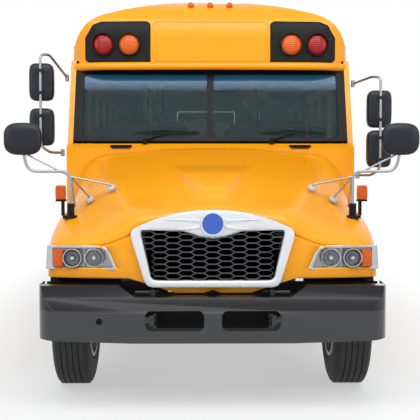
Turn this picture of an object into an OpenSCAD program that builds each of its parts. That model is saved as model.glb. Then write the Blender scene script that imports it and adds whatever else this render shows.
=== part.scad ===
// Full-size school bus. The bus faces -Y, +X is its left (driver's) side, +Z is up.
// Inside the modules Y counts backwards from the face of the front bumper; at_frame() moves it to the part's frame.

/* [Body] */
// Length over both bumpers
overall_len = 9300; // [8800:50:10600]
// Width of the passenger body
body_w = 2440; // [2240:20:2560]
// Height of the roof's crown above the road
roof_z = 3140; // [3000:20:3300]
// Height of the body's lower edge
skirt_z = 560; // [500:10:620]
// Height where the straight sides end
eave_z = 2600; // [2520:10:2660]
// Radius between side and roof
eave_r = 420; // [300:10:480]
// Thickness of walls, doors and roof
wall_t = 45; // [30:1:60]
// Top face of the floor
floor_top = 1090; // [1080:5:1150]
// Thickness of the floor plate
floor_t = 40; // [20:1:45]
// Lower edge of the side windows
sill_z = 1690; // [1600:10:1750]
// Upper edge of the side windows
head_z = 2400; // [2300:10:2440]
// Distance from one side window to the next
window_pitch = 711; // [640:1:740]
// Pillar between two side windows
pillar_w = 90; // [70:5:140]
// Thickness of a window pane
glass_t = 8; // [5:1:12]

/* [Chassis] */
// Distance between the axles
wheelbase = 5512; // [5100:10:6400]
// Front axle behind the bumper's face
front_axle_y = 930; // [900:5:960]
// Outside width of the frame rails
rail_w = 860; // [820:5:900]
// Height of a frame rail
rail_h = 250; // [200:5:260]
// Top of the frame rails
rail_top = 900; // [880:5:920]
// Thickness of the rails' web and flanges
rail_t = 10; // [8:1:14]

/* [Wheels] */
// Radius of a tyre
tyre_r = 505; // [480:1:520]
// Width of a tyre
tyre_w = 279; // [250:1:285]
// Radius of the rim's bead seat
rim_r = 286; // [270:1:295]
// Centre of a front tyre from the middle of the bus
front_track_x = 1040; // [1020:1:1060]
// Centre of an outer rear tyre from the middle of the bus
rear_track_x = 1070; // [1060:1:1080]
// Distance between twin tyres
twin_gap = 330; // [320:1:345]
// Kingpin from the middle of the bus
kingpin_x = 880; // [870:1:890]
// Radius of a kingpin
kingpin_r = 24; // [18:1:28]
// Radius of a wheel spindle
spindle_r = 40; // [34:1:44]
// Radius of the wheel arches
arch_r = 600; // [585:5:640]

/* [Hood] */
// Front of the hood behind the bumper's face
hood_front = 240; // [230:5:260]
// Rear edge of the hood
hood_rear = 1600; // [1590:5:1640]
// Thickness of the hood's shell
hood_t = 14; // [10:1:20]
// Overall width of the fenders
fender_w = 2380; // [2300:10:2400]
// Lower edge of the hood's front
hood_bottom = 895; // [885:5:920]

/* [Details] */
// Width of the front bumper
bumper_w = 2400; // [2300:10:2440]
// Thickness of the bumper's plate
bumper_t = 8; // [5:1:12]
// Diameter of a warning lamp
lamp_d = 178; // [150:1:190]
// Width of the entrance door's opening
door_w = 700; // [640:10:740]
// Width of the rear emergency door
rear_door_w = 960; // [900:10:1040]
// Gap round a door
door_gap = 6; // [5:0.5:10]
// Width across the stop sign
stop_w = 450; // [400:10:480]
// Radius of the hole for the crossing gate in the front bumper
gate_hole_r = 22; // [10:1:30]
// Distance between the holes for the number plate
plate_spacing = 178; // [120:1:300]
// Radius of the tow eyes' holes
tow_r = 20; // [15:1:24]
// Radius of the mirror tubes
tube_r = 11; // [9:1:14]

/* [Hidden] */
half_w = body_w / 2;
inner_w = half_w - wall_t;
run_fit = 0.05;
front_dish = 150;
rear_axle_y = front_axle_y + wheelbase;
body_rear = overall_len - 50;
body_front = hood_rear + 30;
crown_r = (pow(half_w - eave_r, 2) + pow(roof_z - eave_z, 2) - pow(eave_r, 2)) / (2 * (roof_z - eave_z - eave_r));
// Windshield plane: its foot, its top and its lean
shield_foot = [body_front + 70, 1870];
shield_top = [body_front + 320, 2530];
shield_lean = atan2(shield_top[0] - shield_foot[0], shield_top[1] - shield_foot[1]);
shield_h = norm(shield_top - shield_foot);
shield_t = 50;
post_w = 55;
cap_front = shield_top[0] - 80;
cap_len = 420;
door_front = shield_top[0] + 60;
door_bottom = 450;
door_top = 2480;
windows_y = door_front + door_w + 270;
window_count = floor((body_rear - 350 - windows_y) / window_pitch);
step_tops = [430, 650, 870];
step_in = 520;
rear_door_bottom = floor_top + 10;
rear_door_top = 2560;
hood_pivot = [215, 800];
hood_pin_r = 12;
rail_front = 300;
rail_rear = body_rear - 120;
front_spring = 1100;
rear_spring = 1300;
door_pin_out = 10;
door_pin_r = 5;
barrel_r = 9;
seat_w = 980;
seat_top = floor_top + 430;
seat_back_top = floor_top + 1080;
seat_first_y = windows_y + 330;
driver_x = 640;
driver_y = body_front + 960;

yellow = [0.98, 0.63, 0.04];
black = [0.05, 0.05, 0.055];
steel = [0.55, 0.56, 0.58];
glass = [0.35, 0.45, 0.5, 0.4];

// ---- shared shapes ----

module at_frame() translate([0, -overall_len / 2, 0]) children();
module both_sides() {
  children();
  mirror([1, 0, 0]) children();
}
// A block from its two opposite corners
module block(low, high) translate(low) cube(high - low);
// Outlines drawn as (y, z), pushed along X from x0 to x1
module side_plate(x0, x1) translate([x0, 0, 0]) rotate([90, 0, 90]) linear_extrude(x1 - x0) children();
// Outlines drawn as (x, z), pushed along Y from y0 to y1
module front_plate(y0, y1) translate([0, y1, 0]) rotate([90, 0, 0]) linear_extrude(y1 - y0) children();
module rounded_rect(low, high, r) {
  translate([low[0] + r, low[1]]) square([high[0] - low[0] - 2 * r, high[1] - low[1]]);
  translate([low[0], low[1] + r]) square([high[0] - low[0], high[1] - low[1] - 2 * r]);
  for (x = [low[0] + r, high[0] - r], z = [low[1] + r, high[1] - r]) translate([x, z]) circle(r, $fn = 32);
}
function arc(c, r, a0, a1, n) = [for (i = [0:n]) let (a = a0 + (a1 - a0) * i / n) [c[0] + r * cos(a), c[1] + r * sin(a)]];
// A straight tube between two points
module rod(a, b, r) {
  d = b - a;
  translate(a) rotate([0, acos(d[2] / norm(d)), atan2(d[1], d[0])]) cylinder(r = r, h = norm(d), $fn = 24);
}
// A bent tube through points, with a fitting at each corner
module tube_path(points, r) {
  for (i = [0:len(points) - 2]) rod(points[i], points[i + 1], r);
  for (i = [1:len(points) - 2]) translate(points[i]) cube(2.6 * r, center = true);
}

// Half outline of the roof, from the eave to the crown; cut is taken off the outside
function roof_half(cut) =
  let (turn = atan2(crown_r - (roof_z - eave_z), half_w - eave_r))
  concat(
    arc([half_w - eave_r, eave_z], eave_r - cut, 0, turn, 8),
    arc([0, roof_z - crown_r], crown_r - cut, turn, 90, 5));
function mirrored(points) = [for (i = [len(points) - 1:-1:0]) [-points[i][0], points[i][1]]];
module body_outline(cut, bottom) {
  half = roof_half(cut);
  polygon(concat([[half_w - cut, bottom]], half, mirrored(half), [[-half_w + cut, bottom]]));
}

// ---- chassis ----

module spring_hanger(y, seat_z, span) {
  end_z = seat_z + 60 + span * 1.6 * (1 - cos(asin(1 / 3.2)));
  for (end = [y - span / 2, y + span / 2])
    block([rail_w / 2 - 2, end - 25, end_z + 2], [rail_w / 2 + 83, end + 25, rail_top - 20]);
}
// One long channel with its bumper bracket, hood pin and spring hangers
module frame_rail() color(black) {
  difference() {
    block([rail_w / 2 - 80, rail_front, rail_top - rail_h], [rail_w / 2, rail_rear, rail_top]);
    block([rail_w / 2 - 81, rail_front - 1, rail_top - rail_h + rail_t], [rail_w / 2 - rail_t, rail_rear + 1, rail_top - rail_t]);
    translate([rail_w / 2 - rail_t - 1, rail_rear - 60, rail_top - rail_h / 2])
      rotate([0, 90, 0]) cylinder(r = tow_r, h = rail_t + 2, $fn = 48);
  }
  difference() {
    union() {
      block([rail_w / 2 - 30, bumper_t, 600], [rail_w / 2, rail_front + 80, 670]);
      block([rail_w / 2 - 30, 85 + bumper_t, 600], [rail_w / 2, rail_front + 80, 785 - bumper_t]);
      block([rail_w / 2 - 30, hood_pivot[0] - 25, 700], [rail_w / 2, hood_pivot[0] + 25, hood_pivot[1] + 20]);
    }
    translate([rail_w / 2 - 31, 110, 640]) rotate([0, 90, 0]) cylinder(r = tow_r, h = 32, $fn = 48);
  }
  translate([rail_w / 2 - 20, hood_pivot[0], hood_pivot[1]]) rotate([0, 90, 0]) cylinder(r = hood_pin_r, h = 130, $fn = 48);
  spring_hanger(front_axle_y, tyre_r - 19, front_spring);
  spring_hanger(rear_axle_y, tyre_r + 76, rear_spring);
}
module frame_rail_left() frame_rail();
module frame_rail_right() mirror([1, 0, 0]) frame_rail();
module crossmembers() color(black)
  for (y = [rail_front + 60, 2300, 3900, 5500, rear_axle_y + 800, rail_rear - 200])
    block([-rail_w / 2 + rail_t, y, rail_top - 110], [rail_w / 2 - rail_t, y + 80, rail_top - rail_t]);

module engine() color(steel) block([-290, 720, 700], [290, 1560, 1420]);
module gearbox() color(steel) block([-200, 1560, 640], [200, 2250, 880]);
module drive_shaft() color(steel) rod([0, 2253, 700], [0, rear_axle_y - 205, tyre_r + 35], 50);

module axle_place(y) translate([0, y, tyre_r]) children();

module front_axle() color(black) axle_place(front_axle_y) {
  block([-640, -50, -110], [640, 50, -20]);
  both_sides() {
    front_plate(-45, 45) polygon([[600, -110], [690, -110], [kingpin_x - 60, -50], [kingpin_x, -50], [kingpin_x, 50], [kingpin_x - 45, 50], [600, -20]]);
    translate([kingpin_x, 0, -50]) cylinder(r = 45, h = 100, $fn = 48);
    translate([kingpin_x, 0, -110]) cylinder(r = kingpin_r, h = 220, $fn = 48);
  }
}

module knuckle() color(steel) axle_place(front_axle_y) difference() {
  union() {
    for (z = [-105, 55]) {
      translate([kingpin_x, 0, z]) cylinder(r = 50, h = 50, $fn = 48);
      block([kingpin_x, -45, z], [kingpin_x + 65, 45, z + 50]);
    }
    block([kingpin_x + 50, -60, -105], [kingpin_x + 80, 60, 105]);
    translate([kingpin_x + 60, 0, 0]) rotate([0, 90, 0]) cylinder(r = spindle_r, h = 190, $fn = 48);
  }
  translate([kingpin_x, 0, -120]) cylinder(r = kingpin_r + run_fit, h = 240, $fn = 48);
}
module knuckle_left() knuckle();
module knuckle_right() mirror([1, 0, 0]) knuckle();

// Spindle, housing tube and the bulge of the differential, turned about the axle
rear_axle_half = [[200, 90], [75, 230], [75, 560], [spindle_r, 560], [spindle_r, rear_track_x - 22], [0, rear_track_x - 22]];
module rear_axle() color(black) axle_place(rear_axle_y) rotate([0, 90, 0]) rotate_extrude($fn = 96)
  polygon(concat(rear_axle_half, [for (i = [len(rear_axle_half) - 1:-1:0]) [rear_axle_half[i][0], -rear_axle_half[i][1]]]));

// A stack of leaves: an arc between the shackles, drawn from the side
module leaf_stack(y, seat_z, span) {
  r = span * 1.6;
  half_turn = asin(span / 2 / r);
  side_plate(rail_w / 2 + 8, rail_w / 2 + 83) polygon(concat(
    arc([y, seat_z + 60 + r], r, -90 - half_turn, -90 + half_turn, 12),
    arc([y, seat_z + 60 + r], r + 60, -90 + half_turn * 0.7, -90 - half_turn * 0.7, 8)));
}
module leaf_springs() color(black) both_sides() {
  leaf_stack(front_axle_y, tyre_r - 19, front_spring);
  leaf_stack(rear_axle_y, tyre_r + 76, rear_spring);
}

module fuel_tank() color(black) front_plate(rear_axle_y + 950, rear_axle_y + 2050)
  rounded_rect([-rail_w / 2 + 80, 570], [rail_w / 2 - 80, 860], 60);

module exhaust() color(steel) {
  x = -rail_w / 2 - 111;
  translate([x, 3000, 720]) rotate([-90, 0, 0]) cylinder(r = 110, h = 1100, $fn = 48);
  translate([x, 4100, 720]) rotate([-90, 0, 0]) cylinder(r = 50, h = 1300, $fn = 48);
}

// ---- wheels: drawn about the origin with the axle along X, outside towards +X ----

module tyre_shape() rotate([0, 90, 0]) rotate_extrude($fn = 96) {
  edge = tyre_w / 2;
  shoulder = 38;
  difference() {
    union() {
      translate([rim_r + 4, -edge + 18]) square([tyre_r - rim_r - 4 - shoulder, tyre_w - 36]);
      translate([rim_r + 60, -edge]) square([tyre_r - rim_r - 60 - shoulder, tyre_w]);
      translate([rim_r + 60, -edge + shoulder]) square([tyre_r - rim_r - 60, tyre_w - 2 * shoulder]);
      for (x = [-1, 1]) translate([tyre_r - shoulder, x * (edge - shoulder)]) circle(shoulder, $fn = 32);
    }
    translate([rim_r - 10, -70]) square([120, 140]);
  }
}
// Disc wheel: dish is where the disc stands from the tyre's middle, bore_r the hub's hole
module rim_shape(dish) rotate([0, 90, 0]) difference() {
  out = sign(dish);
  rotate_extrude($fn = 96) {
    translate([rim_r - 14, -tyre_w / 2 + 18]) square([17, tyre_w - 36]);
    for (x = [-tyre_w / 2 + 8, tyre_w / 2 - 18]) translate([rim_r - 14, x]) square([26, 10]);
    polygon([for (p = [[rim_r - 8, 92], [rim_r - 8, 112], [205, abs(dish) + 7.5], [spindle_r + run_fit, abs(dish) + 7.5],
      [spindle_r + run_fit, abs(dish) - 7.5], [198, abs(dish) - 7.5], [rim_r - 30, 92]]) [p[0], out * p[1]]]);
  }
  for (a = [0:36:324]) rotate([0, 0, a]) translate([rim_r - 52, 0, out > 0 ? 60 : -190]) cylinder(r = 24, h = 130, $fn = 32);
}
module hub_shape(from, to, cap) rotate([0, 90, 0]) difference() {
  union() {
    translate([0, 0, from]) cylinder(r = 105, h = to - from, $fn = 48);
    translate([0, 0, to]) cylinder(r = 75, h = cap, $fn = 48);
  }
  translate([0, 0, from - 1]) cylinder(r = spindle_r + run_fit, h = to - from + 1, $fn = 48);
}
module front_wheel_place() translate([front_track_x, front_axle_y, tyre_r]) children();
module front_tyre() color(black) front_wheel_place() tyre_shape();
module front_rim() color([0.85, 0.85, 0.85]) front_wheel_place() {
  rim_shape(front_dish);
  hub_shape(kingpin_x + 95 - front_track_x, front_dish + 7.5, 34);
}
module rear_tyres() color(black) translate([rear_track_x, rear_axle_y, tyre_r]) {
  tyre_shape();
  translate([-twin_gap, 0, 0]) tyre_shape();
}
module rear_rims() color([0.85, 0.85, 0.85]) translate([rear_track_x, rear_axle_y, tyre_r]) {
  rim_shape(-twin_gap / 2 + 7.5);
  translate([-twin_gap, 0, 0]) rim_shape(twin_gap / 2 - 7.5);
  hub_shape(-twin_gap / 2 - 150, -20, 60);
}
module front_tyre_left() front_tyre();
module front_tyre_right() mirror([1, 0, 0]) front_tyre();
module front_rim_left() front_rim();
module front_rim_right() mirror([1, 0, 0]) front_rim();
module rear_tyres_left() rear_tyres();
module rear_tyres_right() mirror([1, 0, 0]) rear_tyres();
module rear_rims_left() rear_rims();
module rear_rims_right() mirror([1, 0, 0]) rear_rims();

// ---- bumpers ----

// Plan of the front bumper: straight face, round corners, ends running back
module bumper_plan(cut) {
  half = bumper_w / 2 - cut;
  corner = 170;
  side = arc([half - corner, corner + cut], corner, -90, 0, 8);
  polygon(concat(side, [[half, 345 + cut], [-half, 345 + cut]], mirrored(side)));
}
module bumper_face(cut) polygon([
  for (p = [[1, 1], [-1, 1]], q = p[0] > 0 ? [0:5] : [5:-1:0])
    let (e = [[540, 480], [bumper_w / 2, 500], [bumper_w / 2, 865], [650, 865], [530, 785], [0, 785]][q])
    [p[0] * max(0, e[0]), e[1] + (e[1] < 600 ? cut : -cut)]]);
module front_bumper_solid(cut) intersection() {
  translate([0, 0, 400]) linear_extrude(600) bumper_plan(cut);
  front_plate(-10, 400) bumper_face(cut);
  side_plate(-1300, 1300) polygon([[cut, 400], [cut, 680], [75 + cut, 830], [75 + cut, 1000], [400, 1000], [400, 400]]);
}
module front_bumper() color(black) difference() {
  front_bumper_solid(0);
  difference() {
    front_bumper_solid(bumper_t);
    block([-1300, -10, 400], [1300, bumper_t, 1000]);
  }
  block([-bumper_w / 2 + bumper_t, 180, 470], [bumper_w / 2 - bumper_t, 400, 900]);
  both_sides() front_plate(-5, 60) rounded_rect([60, 565], [460, 700], 40);
  translate([-770, -5, 630]) rotate([-90, 0, 0]) cylinder(r = gate_hole_r, h = 40, $fn = 48);
}
module rear_bumper() color(black) difference() {
  block([-half_w, body_rear, 480], [half_w, overall_len, 760]);
  block([-half_w + bumper_t, body_rear - 1, 480 + bumper_t], [half_w - bumper_t, overall_len - bumper_t, 760 - bumper_t]);
  for (x = [-1, 1] * plate_spacing / 2) translate([x, overall_len - 20, 620]) rotate([-90, 0, 0]) cylinder(r = 3.5, h = 30, $fn = 32);
}

// ---- body ----

module floor_plate() color([0.2, 0.2, 0.21]) {
  difference() {
    block([-inner_w, body_front + 60, floor_top - floor_t], [inner_w, body_rear - wall_t, floor_top]);
    block([-inner_w - 1, door_front - 2, floor_top - floor_t - 1], [-inner_w + step_in, door_front + door_w + 2, floor_top + 1]);
  }
  for (i = [0:9]) let (y = 3000 + i * 640, over_wheel = abs(y + 25 - rear_axle_y) < 640)
    block([over_wheel ? -560 : -inner_w, y, rail_top], [over_wheel ? 560 : inner_w, y + 50, floor_top - floor_t]);
  block([-rail_w / 2 - 100, body_front + 100, rail_top], [rail_w / 2 + 100, body_front + 150, floor_top - floor_t]);
}

module cowl_top() polygon([[body_front, 1760], [body_front, 1830], [shield_foot[0], 1868], [shield_foot[0] + 60, 1868], [shield_foot[0] + 60, 1760]]);
module cowl() color(yellow) difference() {
  union() {
    block([-inner_w, body_front, 900], [inner_w, body_front + 55, 1800]);
    side_plate(-inner_w, inner_w) cowl_top();
  }
  for (x = [-1, 1]) translate([x * 760, body_front + 30, 1790]) cube([200, 20, 200], center = true);
}

// Local frame of the windshield: X across, Z up the slope, Y through the glass
module shield_place() translate([0, shield_foot[0], shield_foot[1]]) rotate([-shield_lean, 0, 0]) children();
module windshield_panes(gap) both_sides()
  rounded_rect([post_w / 2 + gap, 55 + gap], [inner_w - 75 - gap, shield_h - 40 - gap], 45);
module windshield_frame() color(black) shield_place() difference() {
  block([-inner_w + 1, 0, 22], [inner_w - 1, shield_t, shield_h - 3]);
  front_plate(-1, shield_t + 1) windshield_panes(0);
}
module windshield() color(glass) shield_place() front_plate(18, 18 + glass_t) windshield_panes(0);

// Side wall from the side: its front edge follows the windshield
module wall_outline() polygon([
  [body_front, skirt_z], [body_rear - wall_t, skirt_z], [body_rear - wall_t, eave_z],
  [shield_top[0] + 26, eave_z], [shield_foot[0], shield_foot[1]], [body_front, 1835]]);
module window_holes(side) {
  for (i = [0:window_count - 1]) let (y = windows_y + i * window_pitch + pillar_w / 2)
    rounded_rect([y, sill_z], [y + window_pitch - pillar_w, head_z], 40);
  if (side > 0) rounded_rect([shield_top[0] + 120, sill_z], [windows_y - pillar_w, head_z], 60);
}
module side_wall(side) color(yellow) difference() {
  side_plate(inner_w, half_w) difference() {
    wall_outline();
    window_holes(side);
    translate([rear_axle_y, tyre_r]) circle(arch_r, $fn = 96);
    if (side < 0) translate([door_front, skirt_z - 1]) square([door_w, door_top - skirt_z + 1]);
  }
}
module side_wall_left() {
  side_wall(1);
  stop_hinge_post();
}
module side_wall_right() {
  mirror([1, 0, 0]) side_wall(-1);
  for (towards = [-1, 1]) entrance_hinges(towards) hinge_fixed();
}
module side_windows() color(glass) {
  for (side = [-1, 1]) mirror([side < 0 ? 1 : 0, 0, 0]) side_plate(half_w - 25, half_w - 25 + glass_t) window_holes(side);
  front_plate(body_rear - 25, body_rear - 25 + glass_t) rear_quarter_panes();
}

// A hinge about Z: the pin stands door_pin_out off the face, which looks along +Y; the leaf is towards +X
door_hinges = [700, 1400, 2250];
module hinge_fixed() {
  translate([0, 0, -45]) cylinder(r = door_pin_r, h = 130, $fn = 32);
  for (z = [-45, 65]) translate([0, 0, z]) {
    cylinder(r = barrel_r, h = 20, $fn = 32);
    block([-45, -door_pin_out - 2, 0], [0, -2, 20]);
  }
}
module hinge_moving() difference() {
  union() {
    translate([0, 0, -23]) cylinder(r = barrel_r, h = 86, $fn = 32);
    block([0, -door_pin_out - 2, -23], [45, -2, 63]);
  }
  translate([0, 0, -24]) cylinder(r = door_pin_r + run_fit, h = 88, $fn = 32);
}
// Places a hinge on the -X side; towards is +1 where the leaf runs backwards from it
module entrance_hinges(towards) for (z = door_hinges)
  translate([-half_w - door_pin_out, towards > 0 ? door_front : door_front + door_w, z])
    rotate([0, 0, 90]) mirror([towards > 0 ? 0 : 1, 0, 0]) children();

// Leaves of the entrance door: the span of each along Y
function leaf_y(towards) = towards > 0
  ? [door_front + door_gap, door_front + door_w / 2 - door_gap]
  : [door_front + door_w / 2 + door_gap, door_front + door_w - door_gap];
module leaf_panes(towards) {
  y = leaf_y(towards);
  rounded_rect([y[0] + 50, 700], [y[1] - 50, 1500], 35);
  rounded_rect([y[0] + 50, 1580], [y[1] - 50, door_top - 70], 35);
}
module door_leaf(towards) color(black) {
  y = leaf_y(towards);
  side_plate(-half_w, -inner_w) difference() {
    translate([y[0], door_bottom]) square([y[1] - y[0], door_top - door_gap - door_bottom]);
    leaf_panes(towards);
  }
  entrance_hinges(towards) hinge_moving();
}
module entrance_door_front() door_leaf(1);
module entrance_door_rear() door_leaf(-1);
module door_glass(towards) color(glass) side_plate(-half_w + 18, -half_w + 18 + glass_t) leaf_panes(towards);
module entrance_glass_front() door_glass(1);
module entrance_glass_rear() door_glass(-1);

module stepwell() color([0.25, 0.25, 0.26]) {
  x0 = -inner_w + 8;
  x1 = -inner_w + step_in;
  run = (x1 - x0 - 30) / 3;
  y0 = door_front;
  y1 = door_front + door_w;
  front_plate(y0, y1) polygon([
    [x0, step_tops[0] - 20], [x0, step_tops[0]], [x0 + run, step_tops[0]], [x0 + run, step_tops[1]],
    [x0 + 2 * run, step_tops[1]], [x0 + 2 * run, step_tops[2]], [x0 + 3 * run, step_tops[2]],
    [x0 + 3 * run, floor_top - 1], [x1, floor_top - 1], [x1, step_tops[2] - 20],
    [x0 + 2 * run + 20, step_tops[2] - 20], [x0 + 2 * run + 20, step_tops[1] - 20],
    [x0 + run + 20, step_tops[1] - 20], [x0 + run + 20, step_tops[0] - 20]]);
}

module roof() color(yellow) front_plate(cap_front + cap_len, body_rear - wall_t) difference() {
  body_outline(0, eave_z);
  body_outline(wall_t, eave_z - 1);
}

// Rounded front of the roof: roof section, side view and plan cut into each other
module cap_solid(cut) intersection() {
  front_plate(cap_front, cap_front + cap_len) body_outline(cut, shield_top[1]);
  side_plate(-half_w, half_w) polygon(concat(
    [[cap_front + cap_len + 1, eave_z], [shield_top[0] + 12, eave_z], [shield_top[0] - 14, shield_top[1]], [cap_front + cut, shield_top[1]]],
    arc([cap_front + 330, roof_z - 330], 330 - cut, 180, 90, 10),
    [[cap_front + cap_len + 1, roof_z - cut]]));
  linear_extrude(4000) polygon(concat(
    arc([half_w - 260, cap_front + 260], 260 - cut, -90, 0, 8),
    [[half_w - cut, cap_front + cap_len + 1], [-half_w + cut, cap_front + cap_len + 1]],
    mirrored(arc([half_w - 260, cap_front + 260], 260 - cut, -90, 0, 8))));
}
lamp_rows = [705, 930];
lamp_z = 2730;
rear_lamp_z = 2700;
module front_cap() color(yellow) difference() {
  cap_solid(0);
  difference() {
    cap_solid(wall_t);
    block([-half_w, cap_front - 1, 2500], [half_w, cap_front + wall_t, 4000]);
  }
  both_sides() for (x = lamp_rows) translate([x, cap_front - 1, lamp_z]) rotate([-90, 0, 0]) cylinder(r = lamp_d / 2 + 1, h = 120, $fn = 48);
}

module rear_wall() color(yellow) {
  for (z = rear_hinges) translate([-rear_door_w / 2, body_rear + door_pin_out, z]) hinge_fixed();
  front_plate(body_rear - wall_t, body_rear) difference() {
    body_outline(0, skirt_z);
    rounded_rect([-rear_door_w / 2, rear_door_bottom], [rear_door_w / 2, rear_door_top], 30);
    rear_quarter_panes();
    both_sides() for (x = lamp_rows) translate([x, rear_lamp_z]) circle(lamp_d / 2 + 1, $fn = 48);
  }
}
module rear_quarter_panes() both_sides() rounded_rect([rear_door_w / 2 + 110, sill_z], [half_w - 130, head_z], 50);
module rear_door_panes() {
  rounded_rect([-rear_door_w / 2 + 110, 1250], [rear_door_w / 2 - 110, 1700], 40);
  rounded_rect([-rear_door_w / 2 + 110, 1800], [rear_door_w / 2 - 110, rear_door_top - 110], 40);
}
rear_hinges = [1300, 1850, 2350];
module rear_door() color(yellow) {
  front_plate(body_rear - wall_t, body_rear) difference() {
    rounded_rect([-rear_door_w / 2 + door_gap, rear_door_bottom + door_gap], [rear_door_w / 2 - door_gap, rear_door_top - door_gap], 26);
    rear_door_panes();
  }
  for (z = rear_hinges) translate([-rear_door_w / 2, body_rear + door_pin_out, z]) hinge_moving();
  block([rear_door_w / 2 - 90, body_rear - 1, 1450], [rear_door_w / 2 - 60, body_rear + 30, 1560]);
}
module rear_door_glass() color(glass) front_plate(body_rear - 25, body_rear - 25 + glass_t) rear_door_panes();

// ---- lamps ----

module warning_lamps() {
  both_sides() for (x = lamp_rows) color(x > 800 ? "red" : "orange") {
    translate([x, cap_front + 75, lamp_z]) rotate([90, 0, 0]) cylinder(r = lamp_d / 2, h = 90, $fn = 48);
    translate([x, body_rear + 20, rear_lamp_z]) rotate([90, 0, 0]) cylinder(r = lamp_d / 2, h = 60, $fn = 48);
  }
}
module tail_lamps() color("red") both_sides() for (z = [1150, 1330])
  translate([900, body_rear + 25, z]) rotate([90, 0, 0]) cylinder(r = z > 1200 ? 70 : 90, h = 25, $fn = 48);

module headlamp_outline(cut) polygon([
  [760 + cut, 1120 - cut], [725 + cut, 1095 - cut], [675 + cut, 950 + cut], [1140 - cut, 950 + cut], [1140 - cut, 1120 - cut]]);
module headlamps() color([0.8, 0.82, 0.85]) both_sides() front_plate(hood_front + 4, hood_front + 90) headlamp_outline(0);

module fender_lamps() color("orange") both_sides() difference() {
  union() {
    front_plate(840, 900) rounded_rect([1120, 1420], [1190, 1530], 12);
    block([1120, 850, 1300], [1150, 890, 1425]);
  }
  hood_solid(0, 0);
}

// ---- hood: sections from front to rear ----
// columns: y, crown z, crease x, crease z, valley x, valley z, fender top z, half width
hood_sections = [
  [hood_front,       1300, 500, 1240,  700, 1150, 1160, fender_w / 2 - 25],
  [hood_front + 100, 1395, 560, 1335,  800, 1205, 1200, fender_w / 2 - 8],
  [hood_front + 360, 1490, 670, 1430,  920, 1300, 1280, fender_w / 2],
  [front_axle_y,     1610, 760, 1545, 1000, 1400, 1325, fender_w / 2],
  [1250,             1720, 860, 1655, 1050, 1520, 1335, fender_w / 2 - 10],
  [hood_rear,        1825, 980, 1755, 1100, 1640, 1340, fender_w / 2 - 20]];
hood_floor = 620;
function hood_ring(s, cut, y) = let (half = [
  [s[7] - cut, hood_floor - 5], [s[7] - cut, s[6] - 90 - cut], [s[7] - 45 - cut, s[6] - 12 - cut],
  [s[4] - cut, s[5] - cut], [s[2] - cut, s[3] - cut], [s[2] * 0.45, s[1] - 8 - cut]])
  [for (p = concat(half, [[0, s[1] - cut]], mirrored(half))) [p[0], y, p[1]]];
module hood_solid(cut, y_shift) {
  n = len(hood_ring(hood_sections[0], 0, 0));
  last = len(hood_sections) - 1;
  points = [for (i = [0:last]) let (s = hood_sections[i])
    each hood_ring(s, cut, s[0] + (i == 0 ? y_shift : 0) + (i == last && cut > 0 ? 1 : 0))];
  polyhedron(points, concat(
    [[for (k = [n - 1:-1:0]) k]],
    [for (i = [0:last - 1], k = [0:n - 1]) let (a = i * n + k, b = i * n + (k + 1) % n) each [[a, b + n, a + n], [a, b, b + n]]],
    [[for (k = [0:n - 1]) last * n + k]]));
}
module hood() color(yellow) {
  difference() {
    hood_solid(0, 0);
    hood_solid(hood_t, hood_t * 2);
    block([-1300, 0, hood_floor - 20], [1300, front_axle_y, hood_bottom]);
    block([-1000, 0, hood_floor - 20], [1000, hood_rear + 10, hood_bottom]);
    translate([-1300, front_axle_y, tyre_r]) rotate([0, 90, 0]) cylinder(r = arch_r, h = 2600, $fn = 96);
    front_plate(hood_front - 10, hood_front + 60) polygon([[-490, 800], [490, 800], [500, 1240], [0, 1240], [-500, 1240]]);
    both_sides() front_plate(hood_front - 10, hood_front + 95) headlamp_outline(0);
  }
  both_sides() difference() {
    union() {
      translate([500, hood_pivot[0], hood_pivot[1]]) rotate([0, 90, 0]) cylinder(r = hood_pin_r + 10, h = 25, $fn = 48);
      block([500, hood_pivot[0] - 20, hood_pivot[1]], [525, hood_front + hood_t, hood_bottom + 50]);
    }
    translate([499, hood_pivot[0], hood_pivot[1]]) rotate([0, 90, 0]) cylinder(r = hood_pin_r + run_fit, h = 27, $fn = 48);
  }
}

module surround_outline(cut) polygon(concat(
  [[-470 + cut, 835 + cut], [470 - cut, 835 + cut]],
  arc([530 - cut, 1230 - cut], 40, 0, 60, 3), arc([0, 380], 995 - cut, 62, 118, 12), mirrored(arc([530 - cut, 1230 - cut], 40, 0, 60, 3))));
module grille_opening() polygon([[-425, 885], [425, 885], [500, 1235], [160, 1235], [0, 1180], [-160, 1235], [-500, 1235]]);
module grille_surround() color([0.9, 0.9, 0.9]) front_plate(hood_front - 50, hood_front) difference() {
  surround_outline(0);
  grille_opening();
}
module grille() color(black) front_plate(hood_front, hood_front + 20) difference() {
  intersection() {
    translate([-485, 845]) square([970, 385]);
    polygon([[-480, 846], [480, 846], [495, 1225], [-495, 1225]]);
  }
  for (i = [-4:4], j = [0:7]) translate([i * 92, 895 + j * 42 + (i % 2 == 0 ? 0 : 21)])
    polygon([[-48, 0], [-28, 15], [28, 15], [48, 0], [28, -15], [-28, -15]]);
}
module badge() color([0.05, 0.2, 0.7]) translate([0, hood_front - 50, 1280]) rotate([90, 0, 0]) cylinder(r = 85, h = 14, $fn = 64);

// ---- mirrors ----

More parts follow.
